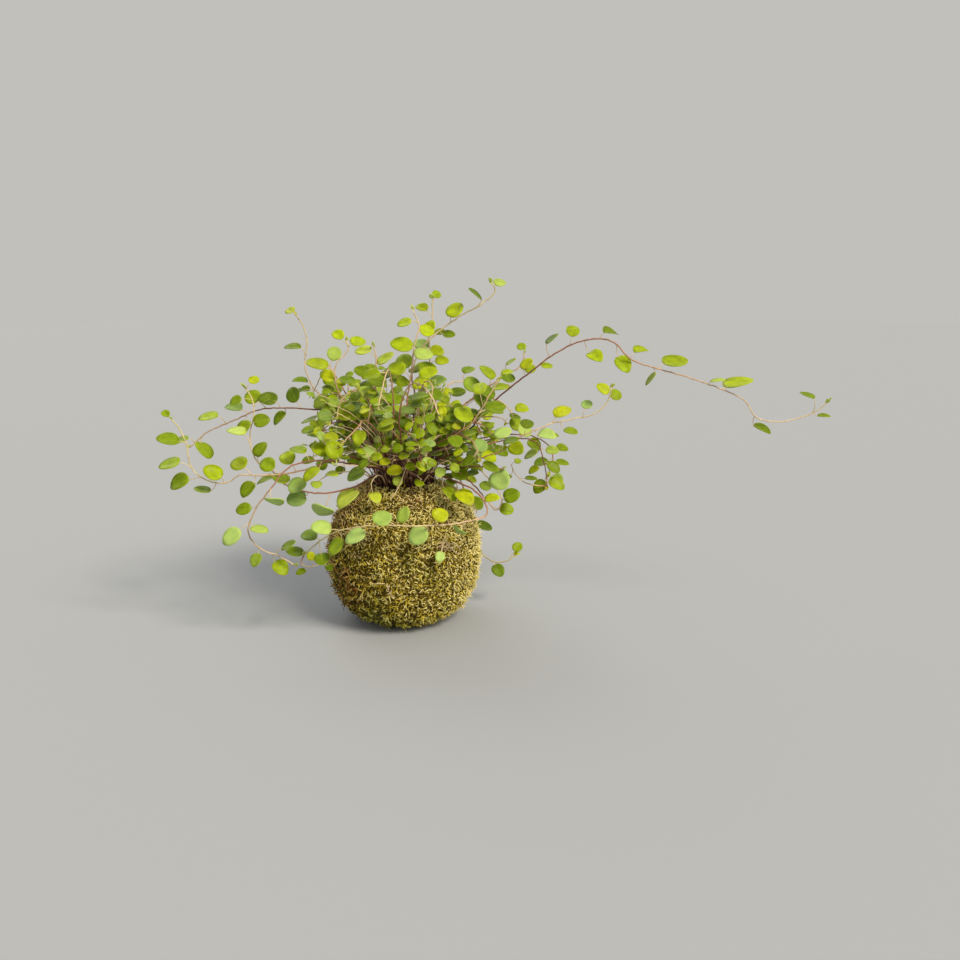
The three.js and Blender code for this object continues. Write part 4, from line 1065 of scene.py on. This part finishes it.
def make_crown():
    """The old wiry stems and rootlets that stand thick and tangled in the mouth of the moss."""
    draw = seeded(CROWN_SEED)
    lines = []
    for i in range(CROWN_STEMS):
        azimuth, radius = i * GOLDEN_ANGLE + 0.9 * draw(), 18.5 * math.sqrt(draw())
        height = 7 + 22 * draw() * draw() + 7 * draw()
        reach = radius * (0.85 + 0.4 * draw()) + 8 * draw() * draw()
        twist = (draw() - 0.5) * 2.6
        route = []
        for share in (0, 0.2, 0.4, 0.6, 0.8, 1):
            angle, out = azimuth + twist * share, radius + (reach - radius) * share**1.5
            wobble = [(draw() - 0.5) * 4.4 * min(1, share * 4) for _ in range(3)]
            route.append((
                out * math.cos(angle) + wobble[0], out * math.sin(angle) + wobble[1],
                SOIL_TOP - 0.8 + height * share + wobble[2],
            ))
        points = curve_through(route)[0](np.linspace(0, 1, 13))
        thick = 0.16 + 0.3 * draw() * draw()
        age = 0.62 + 0.3 * draw() if draw() < 0.72 else 0.15 + 0.35 * draw()
        tones = tones_of(np.linspace(max(age, 0.7), age, 13), draw(), 13)
        lines.append((points, np.linspace(thick, thick * 0.6, 13), tones))
    # Dry scales and dead leaf tips that hang on the wood
    places, dry = [], []
    for points in [line[0] for line in lines] * 2:
        root = points[3 + int(9 * draw())]
        along = unit(any_way(draw, 0.6))
        side = unit(np.cross(along, steep(draw)))
        places.append((root, side, along, np.cross(side, along), 1.2 + 1.9 * draw()))
        dry.append((0.1 + 0.45 * draw() * draw(), draw(), 0, 1))
    scales = DRY_SCALE, places_of(*(np.array(values) for values in zip(*places))), BARK, np.array(dry)
    show("crown_stems", gather("crown_stems", [wood_of(lines), scales]), [bark_material])


def in_thicket(point, size=1.0):
    """Whether a point is in the thick middle of the plant."""
    return np.linalg.norm((point - THICKET_MIDDLE) / THICKET_REACH) < size


def leafy_shoot(route, sizes, draw):
    """A side shoot along its route: its twig, and those of its leaves that there is room for."""
    at = curve_through(route)[0]
    found = []
    for n, size in enumerate(sizes):
        along = (n + 1) / len(sizes)
        root = at(along * 0.98)[0]
        forward = unit(at(min(1, along + 0.03))[0] - at(along - 0.05)[0])
        aside = unit(np.cross(forward, steep(draw))) * (1 if n % 2 else -1)
        for _ in range(4):
            middle = root + unit(forward * 0.7 + aside) * (2.1 + size / 2)
            lean = some_tilt(draw)
            leaf = Leaf(along, root, middle, size, unit(slant_of(0.9 * (draw() - 0.5), lean)))
            if shows_crown(middle) and draw() < 0.85:
                break
            if in_thicket(middle, 1.12) and foliage.has_room(leaf, "shoot", clear=0.35, off=2.5):
                leaf.stem = "shoot"
                foliage.leaves.append(leaf)
                found.append(leaf)
                break
            aside = unit(aside + any_way(draw, 0.2) * 1.2)
    shares = np.linspace(0, 1, 9)
    age = 0.1 + 0.35 * draw()
    tones = tones_of(np.linspace(age + 0.15, 0.12, 9), [draw() for _ in shares], 9)
    return (at(shares), np.linspace(0.42, 0.24, 9), tones), found


def shoot_starts(draw):
    """Where each side shoot starts: its first points, its heading, its length and its number of leaves."""
    for stem in stems:
        spots = int(stem.length / 8)
        for k in range(1, spots):
            root = stem.at((k + draw() * 0.6) / spots)[0]
            aside = unit(any_way(draw, 0.45))
            tangent = unit(stem.at(min(1, (k + 0.5) / spots))[0] - stem.at(k / spots)[0])
            length = 8 + 13 * draw()
            if in_thicket(root) and draw() < 0.7:
                yield [root], unit(tangent * 0.4 + aside), length, 2 + int(length / 6)
            if in_thicket(root, 0.8) and draw() < 0.22:
                away = unit(root - THICKET_FOOT)
                yield [root], unit(away + aside * 0.7 + np.array([0, -0.25, 0.1])), 26 + 18 * draw(), 2
    # Low ones round the foot, fewer at the front, where the old wood shows
    for i in range(LOW_SHOOTS):
        azimuth, radius = i * GOLDEN_ANGLE + 0.5 * draw(), 8 + 10 * draw()
        if draw() < 0.9 * max(0, math.cos(azimuth + 1.35)) ** 0.5:
            continue
        foot = np.array([radius * math.cos(azimuth), radius * math.sin(azimuth), SOIL_TOP - 0.5])
        up = np.array([foot[0] * 1.25, foot[1] * 1.25, SOIL_TOP + 8 + 4 * draw()])
        length = 12 + 26 * draw()
        heading = unit(np.array([math.cos(azimuth), math.sin(azimuth), 0.15 + 1.1 * draw()]))
        yield [foot, up], heading, length, 1 + int(length / 8)


# Young shoots in front of the crown, and some that trail at the sides: the points that each passes, and of
# each leaf its middle, its length, its tilt, and its ripeness, brightness and painted sheen
FRONT_SHOOTS = [
    ([(3, -13, 91), (4, -16, 104), (6, -21, 111), (3, -26, 103), (0, -31, 95), (-5, -37, 87.5)],
        [((-3, -27, 104), 9.8, 34, (0.02, 0.9, 0)), ((-1, -28, 98), 7, 62, (0.2, 0.8, 0.3))]),
    ([(-4, -13, 91), (-6, -16, 103), (-4, -21, 110), (-3, -25, 113)],
        [((-9, -26, 109), 7.4, 33, (0.06, 0.9, 0))]),
    ([(-9, -12, 91), (-11, -17, 105), (-13, -21, 115), (-13, -23, 121)],
        [((-19, -27, 115), 9.6, 62, (0.25, 1, 0.8))]),
    ([(8, -13, 91), (12, -17, 103), (16, -20, 112), (17, -21, 116)],
        [((17, -25, 108), 8.4, 68, (0.3, 0.9, 0.7))]),
    ([(12, -12, 91), (18, -18, 100), (24, -23, 107), (30, -26, 110)],
        [((25, -27, 103), 7.6, 36, (0.2, 1, 0.6)), ((34, -29, 106), 7, 45, (0.3, 0.7, 0.2))]),
    ([(-10, -13, 91), (-12, -20, 99), (-15, -27, 100), (-17, -32, 97)],
        [((-14, -38, 89.5), 10, 20, (0.1, 0.9, 0.2))]),
    ([(-14, -12, 91), (-22, -20, 100), (-33, -26, 103), (-45, -30, 101), (-53, -33, 95)],
        [((-40, -34, 103), 8, 22, (0.2, 0.9, 0.2)), ((-49, -39, 98), 8, 22, (0.25, 0.8, 0.2)),
        ((-33.8, -27, 112.5), 7.5, 12, (0.4, 0.6, 0))]),
    ([(-16, -6, 91), (-26, -9, 102), (-38, -9, 109), (-50, -8, 111), (-60, -8, 108)],
        [((-50.5, -11, 104.2), 8, 25, (0.7, 0.4, 0)), ((-59.2, -11, 107.4), 8, 25, (0.6, 0.5, 0)),
        ((-39, -12, 101.2), 7, 25, (0.8, 0.3, 0)), ((-47.3, -5, 115.9), 8, 20, (0.5, 0.5, 0)),
        ((-56, -6, 115.5), 7, 20, (0.6, 0.3, 0)), ((-31, -14, 106.7), 7, 30, (0.7, 0.6, 0))]),
    ([(27, -38, 62), (27, -42, 62.5), (26.5, -45, 60)], [((25.3, -47.5, 55), 7, 62, (0.3, 1, 1))]),
    ([(95, 20, 83), (86, 18, 84.5), (79, 16, 87), (73, 15, 93), (70, 14, 99.5)],
        [((83.5, 15, 89.3), 8.5, 12, (0.85, 0.5, 0)), ((67.4, 13, 91), 7.6, 15, (0.6, 0.4, 0)),
        ((74.6, 13, 102), 5, 40, (0.3, 0.8, 0.2))]),
    ([(-58, -42, 54), (-60.6, -39, 48.4), (-56.6, -35, 44.5), (-50.3, -32, 45.5), (-45.9, -31, 49.7)],
        [((-61.3, -37, 41.9), 6.5, 30, (0.6, 0.5, 0)), ((-55.5, -33, 51), 6.5, 40, (0.1, 0.8, 0)),
        ((-44.6, -33, 43.2), 6, 25, (0.8, 0.4, 0))]),
]


def shows_crown(point):
    """Whether a point is in front of the bare old wood, where few leaves hang."""
    return point[1] < 4 and point[2] < 110 and -24 < point[0] < 30


def front_shoots():
    """The lines and the leaves of the young shoots in front of the crown."""
    lines, leaves = [], []
    for route, blades in FRONT_SHOOTS:
        at = curve_through(route)[0]
        shares = np.linspace(0, 1, 15)
        tones = tones_of(0.5 * np.exp(-6 * shares) + 0.1, 0.7, 15)
        lines.append((at(shares), np.linspace(0.5, 0.3, 15), tones))
        roots = at(np.linspace(0.4, 1, 25))
        for middle, size, tilt, tint in blades:
            off_stalk = np.linalg.norm(roots - np.array(middle), axis=1) - size / 2 - 3
            root = roots[np.argmin(np.abs(off_stalk))]
            leaf = Leaf(1, root, np.array(middle, float), size, unit(slant_of(0.15, tilt)))
            leaf.stem, leaf.tint = "shoot", tint
            foliage.leaves.append(leaf)
            leaves.append(leaf)
    return lines, leaves


def dry_twigs(draw):
    """Thin twigs, bare but for their buds, that rise between the leaves at the front, clear of them."""
    blades = fields_of(foliage.leaves, "middle", "normal", "length")
    twigs = []
    for _ in range(TWIG_TRIES):
        if len(twigs) == TWIG_COUNT:
            break
        fan = 20 + 75 * draw()
        azimuth = math.radians(-90 + fan if draw() < 0.5 else -90 - fan)
        radius, reach, rise, bend = 7 + 10 * draw(), 16 + 34 * draw(), 12 + 46 * draw(), 0.8 * (draw() - 0.5)
        route = []
        for share, height in ((0.12, 0.25), (0.4, 0.6), (0.7, 0.85), (1, 1)):
            x, y = foot_at(radius + reach * share, math.degrees(azimuth + bend * share))
            route.append((x + 5 * (draw() - 0.5), y + 5 * (draw() - 0.5), SOIL_TOP + 8 + rise * height))
        twig = Stem("dry_twig", foot_at(radius, math.degrees(azimuth)), route)
        to_blades = distance_to_blades(twig.line[2:, None], *blades)
        wood = np.vstack([foliage.line, *(other.line for other in twigs)])
        to_wood = np.linalg.norm(twig.line[5:, None] - wood, axis=2)
        clear = to_blades.min() > TWIG_OFF_BLADES and to_wood.min() > TWIG_OFF_WOOD
        if clear and off_ball(twig.line[8:]).min() > TWIG_OFF_BALL:
            twigs.append(twig)
    return twigs


def make_shoots():
    """Thin side shoots with small leaves, which close up the thicket, and bare twigs between them."""
    draw = seeded(SHOOT_SEED)
    lines, small = front_shoots()
    for route, heading, length, count in shoot_starts(draw):
        bend = any_way(draw, 0.4)
        for _ in range(3):
            heading = unit(heading + bend * 0.4 + any_way(draw) * 0.5)
            route = [*route, route[-1] + heading * length / 3]
        if (off_ball(np.array(route[2:])) < 3).any() or not in_thicket(route[-1], 1.1):
            continue
        sizes = [9.2 - 3.8 * (n + 1) / count + 1.6 * draw() for n in range(count)]
        line, found = leafy_shoot(route, sizes, draw)
        if found:
            lines.append(line)
            small += found
    twig_draw = seeded(TWIG_SEED)
    bare = dry_twigs(twig_draw)
    lines += [stem_line(twig, twig_draw, thick=0.36, thin=0.22, old=0.8) for twig in bare]
    stalks = [stalk_line(leaf, leaf.root, 0.2) for leaf in small]
    parts = [wood_of(lines), wood_of(stalks), *lay_leaves(small, draw, SMALL_BLADES)]
    parts += [tip_buds(twig, twig_draw) for twig in bare]
    mesh = gather("side_shoots", parts)
    show("side_shoots", mesh, [bark_material, leaf_material])


# The ball


def size_at(wide, tall, inset):
    """How large the outline through a place is, where 1 is the ball's own, moved in by an inset."""
    power = SQUARENESS_BELOW if tall < 0 else SQUARENESS_ABOVE
    across, up = abs(wide) / (BALL_RADIUS - inset), abs(tall) / (BALL_HALF_HEIGHT - inset)
    return (across**power + up**power) ** (1 / power)


def radius_at(height, inset):
    """The radius of the ball's outline at a height, moved in by an inset."""
    power = SQUARENESS_BELOW if height < BALL_MIDDLE else SQUARENESS_ABOVE
    share = min(1, abs(height - BALL_MIDDLE) / (BALL_HALF_HEIGHT - inset))
    return (BALL_RADIUS - inset) * (1 - share**power) ** (1 / power)


def height_at(radius, inset):
    """The height at which the upper outline, moved in by an inset, has a radius."""
    share = (radius / (BALL_RADIUS - inset)) ** SQUARENESS_ABOVE
    return BALL_MIDDLE + (BALL_HALF_HEIGHT - inset) * (1 - share) ** (1 / SQUARENESS_ABOVE)


def outline(inset, low, high, rings):
    """Points of the ball's outline between two heights, evenly turned about its middle."""
    first, last = (math.atan2(z - BALL_MIDDLE, radius_at(z, inset)) for z in (low, high))
    for i in range(rings + 1):
        angle = first + (last - first) * i / rings
        size = size_at(math.cos(angle), math.sin(angle), inset)
        yield math.cos(angle) / size, BALL_MIDDLE + math.sin(angle) / size


def swell(point):
    """The low lumps of the moss: a point of the ball's outer side, moved out or in."""
    radius = math.hypot(point.x, point.y)
    share = (point.z - 1) / (height_at(MOUTH_RADIUS, 0) - 2)
    if radius < radius_at(point.z, MOSS_THICKNESS / 2) or not 0 < share < 1:
        return point
    around, up = math.atan2(point.y, point.x), (share - 0.5) * math.pi
    lump = sum(h * math.sin(r * around + rise * up + phase) for h, r, rise, phase in LUMPS)
    rough = 1.1 * noise.noise(point * 0.11) + 0.8 * noise.noise(point * 0.33)
    grown = 1 + (lump + rough * 0.7) * math.cos(up) / radius
    return Vector((point.x * grown, point.y * grown, point.z))


def make_moss_bed():
    """The felted sheet of moss: its outline, turned round the ball's axis, then swollen into low lumps."""
    top = height_at(MOUTH_RADIUS + 1.6, BED_INSET)
    outer = list(outline(BED_INSET, 0, top, 54))
    # Rounded over at the mouth, then down its wall
    lip = [(20.6, top - 0.1), (20.15, top - 0.9), (20.05, top - 2.4)]
    inner_foot = BALL_MIDDLE - BALL_HALF_HEIGHT + MOSS_THICKNESS
    inner_top = height_at(MOUTH_RADIUS, MOSS_THICKNESS)
    lining = list(outline(MOSS_THICKNESS, inner_foot + 0.01, inner_top, 14))[::-1]
    profile = [(0, 0), *outer, *lip, *lining[:-1], (0, inner_foot)]
    bm = bmesh.new()
    verts = [bm.verts.new((x, 0, z)) for x, z in profile]
    edges = [bm.edges.new(pair) for pair in zip(verts, verts[1:])]
    bmesh.ops.spin(
        bm, geom=verts + edges, axis=(0, 0, 1), cent=(0, 0, 0), angle=math.tau, steps=128, use_merge=True
    )
    for vert in bm.verts:
        vert.co = swell(vert.co)
    for face in bm.faces:
        face.smooth = True
    bed = closed_mesh(bm, "moss_bed")
    mesh = gather("moss_bed", [(bed, ONE_PLACE, 0, np.ones((1, 4)))])
    show("moss_bed", mesh, [moss_bed_material], ["moss_sheet"])
    return bed


def in_fixed_order(triangles):
    """Triangles sorted by place, each from its lowest corner on: Blender's order changes with every run."""
    # No two corners lie equally far along this heading
    heading = np.array([1, 0.618, 0.382])
    first = np.argmin(triangles @ heading, axis=1)
    turned = (first[:, None] + np.arange(3)) % 3
    triangles = np.take_along_axis(triangles, turned[:, :, None], axis=1)
    return triangles[np.argsort(triangles.mean(axis=1) @ heading)]


def scatter(mesh, count, random):
    """Places spread evenly over a mesh's faces: points and the normals there."""
    mesh.calc_loop_triangles()
    corners = np.empty(len(mesh.loop_triangles) * 3, np.int32)
    mesh.loop_triangles.foreach_get("vertices", corners)
    triangles = values_of(mesh.vertices, "co", 3, float)[corners.reshape(-1, 3)]
    a, b, c = np.moveaxis(in_fixed_order(triangles), 1, 0)
    cross = np.cross(b - a, c - a)
    area = np.linalg.norm(cross, axis=1) / 2
    middle = (a + b + c) / 3
    radius = np.hypot(middle[:, 0], middle[:, 1])
    outside = (radius > 19.8) & (middle[:, 2] > 0.3) & (np.abs(off_ball(middle)) < 4)
    area = np.where(outside, area, 0)
    chosen = random.choice(len(area), count, p=area / area.sum())
    u, v = random.random(count), random.random(count)
    over = u + v > 1
    u, v = np.where(over, 1 - u, u)[:, None], np.where(over, 1 - v, v)[:, None]
    normals = cross[chosen] / (2 * area[chosen, None])
    return a[chosen] + (b - a)[chosen] * u + (c - a)[chosen] * v, normals


def spaced(points, gap):
    """Which points to keep, so that no two are nearer to each other than the gap."""
    cells, kept = {}, []
    steps = list(itertools.product((-1, 0, 1), repeat=3))
    for i, (point, cell) in enumerate(zip(points, np.floor(points / gap).astype(int))):
        near = (cells.get((cell[0] + a, cell[1] + b, cell[2] + c), ()) for a, b, c in steps)
        if all(math.dist(point, other) > gap for others in near for other in others):
            cells.setdefault(tuple(cell), []).append(point)
            kept.append(i)
    return kept


def make_moss_strands(bed):
    """Thousands of curly sprigs over the bed, in four pieces."""
    random = np.random.default_rng(MOSS_SEED)
    # The seed of each kind of sprig, how upright it is, and of the long ones the reach and the cuts
    kinds = [(1, 0), (2, 0), (3, 0.1), (4, 0.2), (5, 0), (6, 0.45), (7, 0, 1.9, 2), (8, 0.15, 1.7, 2)]
    sprigs = [moss_sprig(*kind) for kind in kinds]
    chances = [0.16, 0.16, 0.15, 0.15, 0.14, 0.06, 0.1, 0.08]
    roots, normals = scatter(bed, SPRIG_TRIES, random)
    kept = spaced(roots, SPRIG_SPACING)
    roots, normals = roots[kept], normals[kept]
    total = len(roots)
    normals += random.normal(0, 0.22, normals.shape)
    normals /= np.linalg.norm(normals, axis=1)[:, None]
    # The sprigs lie roughly one way in each patch, as if combed. Without a seed these vectors would change
    # with every run
    noise.seed_set(MOSS_SEED)
    combed = np.array([noise.noise_vector(Vector(root) * 0.06) for root in roots])
    sides = np.cross(normals, combed + random.normal(0, 0.3, normals.shape))
    sides /= np.linalg.norm(sides, axis=1)[:, None]
    alongs = np.cross(normals, sides)
    sizes = random.uniform(*SPRIG_SIZES, total)
    roots = roots + normals * random.uniform(-0.3, 0.7, total)[:, None]
    places = places_of(roots, sides, alongs, normals, sizes)
    kind_of = random.choice(len(sprigs), total, p=chances)
    tones = np.column_stack([random.random((total, 2)), np.zeros(total), np.ones(total)])
    quarter = np.floor((np.arctan2(roots[:, 1], roots[:, 0]) / math.tau + 0.5) * 4).astype(int) % 4
    for number in range(4):
        parts = []
        for kind, sprig in enumerate(sprigs):
            chosen = (quarter == number) & (kind_of == kind)
            parts.append((sprig, places[chosen], 0, tones[chosen]))
        mesh = gather(f"moss_strands_{number + 1}", parts)
        # The lowest strands lie flat on what the ball stands on
        co = values_of(mesh.vertices, "co", 3, np.float32)
        co[:, 2] = np.maximum(co[:, 2], 0.2 * MM)
        mesh.vertices.foreach_set("co", co.ravel())
        mesh.update()
        show(mesh.name, mesh, [moss_material])


# Where fine roots lie over the moss: the azimuth in degrees, the height in millimetres and how many
ROOTLETS = [(-54, 61, 13), (-122, 66, 5), (-96, 38, 4), (20, 70, 5), (75, 44, 5), (130, 63, 6), (178, 36, 4)]


def make_rootlets():
    """Fine tan roots of the vines, curled over the moss in a few places."""
    draw = seeded(ROOTLET_SEED)
    lines = []
    for azimuth, height, count in ROOTLETS:
        for _ in range(count):
            across, up = 6 * (draw() + draw() - 1), 5 * (draw() + draw() - 1)
            heading, bend, step = math.tau * draw(), 0.9 * (draw() - 0.5), 1 + 0.9 * draw()
            points = []
            for _ in range(7):
                radius = radius_at(height + up, -1.6 - 1.7 * draw())
                angle = math.radians(azimuth) + across / BALL_RADIUS
                points.append((radius * math.cos(angle), radius * math.sin(angle), height + up))
                across, up = across + step * math.cos(heading), up + step * math.sin(heading)
                heading += bend
            tones = tones_of(0.04 + 0.24 * draw(), draw(), 7)
            lines.append((np.array(points), np.linspace(0.26, 0.14, 7), tones))
    show("rootlets", gather("rootlets", [wood_of(lines)]), [bark_material])


make_vines()
make_crown()
make_shoots()
make_moss_strands(make_moss_bed())
make_rootlets()
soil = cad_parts["soil_core"]
soil.data.materials.clear()
soil.data.materials.append(soil_material)


# Floor, light and camera

# The camera: its place in metres, how far it looks down in degrees, its lens and film width in millimetres
CAMERA_PLACE, CAMERA_LOOKS_DOWN = (0.0495, -0.540, 0.2127), 12.6
CAMERA_LENS, CAMERA_FILM = 32, 36


def make_floor():
    """A plain pale floor, which is stage and not part of the thing."""
    material, _, shader = new_material("pale_floor")
    shader.inputs["Base Color"].default_value = colour("#A4A7AC")
    shader.inputs["Roughness"].default_value = 0.9
    shader.inputs["Specular IOR Level"].default_value = 0.1
    bm = bmesh.new()
    bmesh.ops.create_circle(bm, cap_ends=True, segments=96, radius=6)
    floor = bpy.data.objects.new("floor", closed_mesh(bm, "floor"))
    floor.data.materials.append(material)
    bpy.context.scene.collection.objects.link(floor)


def make_light(name, place, strength, spread, tint):
    """A broad soft light that falls from a place towards the plant."""
    light = bpy.data.lights.new(name, "SUN")
    light.energy, light.angle, light.color = strength, math.radians(spread), colour(tint)[:3]
    lamp = bpy.data.objects.new(name, light)
    lamp.rotation_euler = (-Vector(place)).to_track_quat("-Z", "Y").to_euler()
    bpy.context.scene.collection.objects.link(lamp)


make_floor()
world = bpy.data.worlds.new("studio")
world.use_nodes = True
world.node_tree.nodes["Background"].inputs["Color"].default_value = colour("#EFEDE7")
world.node_tree.nodes["Background"].inputs["Strength"].default_value = 0.62
bpy.context.scene.world = world
make_light("window", (0.78, -0.72, 1.05), 3.2, 22, "#FFF5E0")
make_light("back", (-0.5, 0.9, 0.9), 0.7, 40, "#FFFFFF")

bpy.context.scene.view_settings.view_transform = "Standard"
camera = bpy.data.objects.new("camera", bpy.data.cameras.new("camera"))
camera.data.lens, camera.data.sensor_width = CAMERA_LENS, CAMERA_FILM
camera.data.clip_start, camera.data.clip_end = 0.01, 50
camera.location = CAMERA_PLACE
camera.rotation_euler = (math.radians(90 - CAMERA_LOOKS_DOWN), 0, 0)
bpy.context.scene.collection.objects.link(camera)
bpy.context.scene.camera = camera
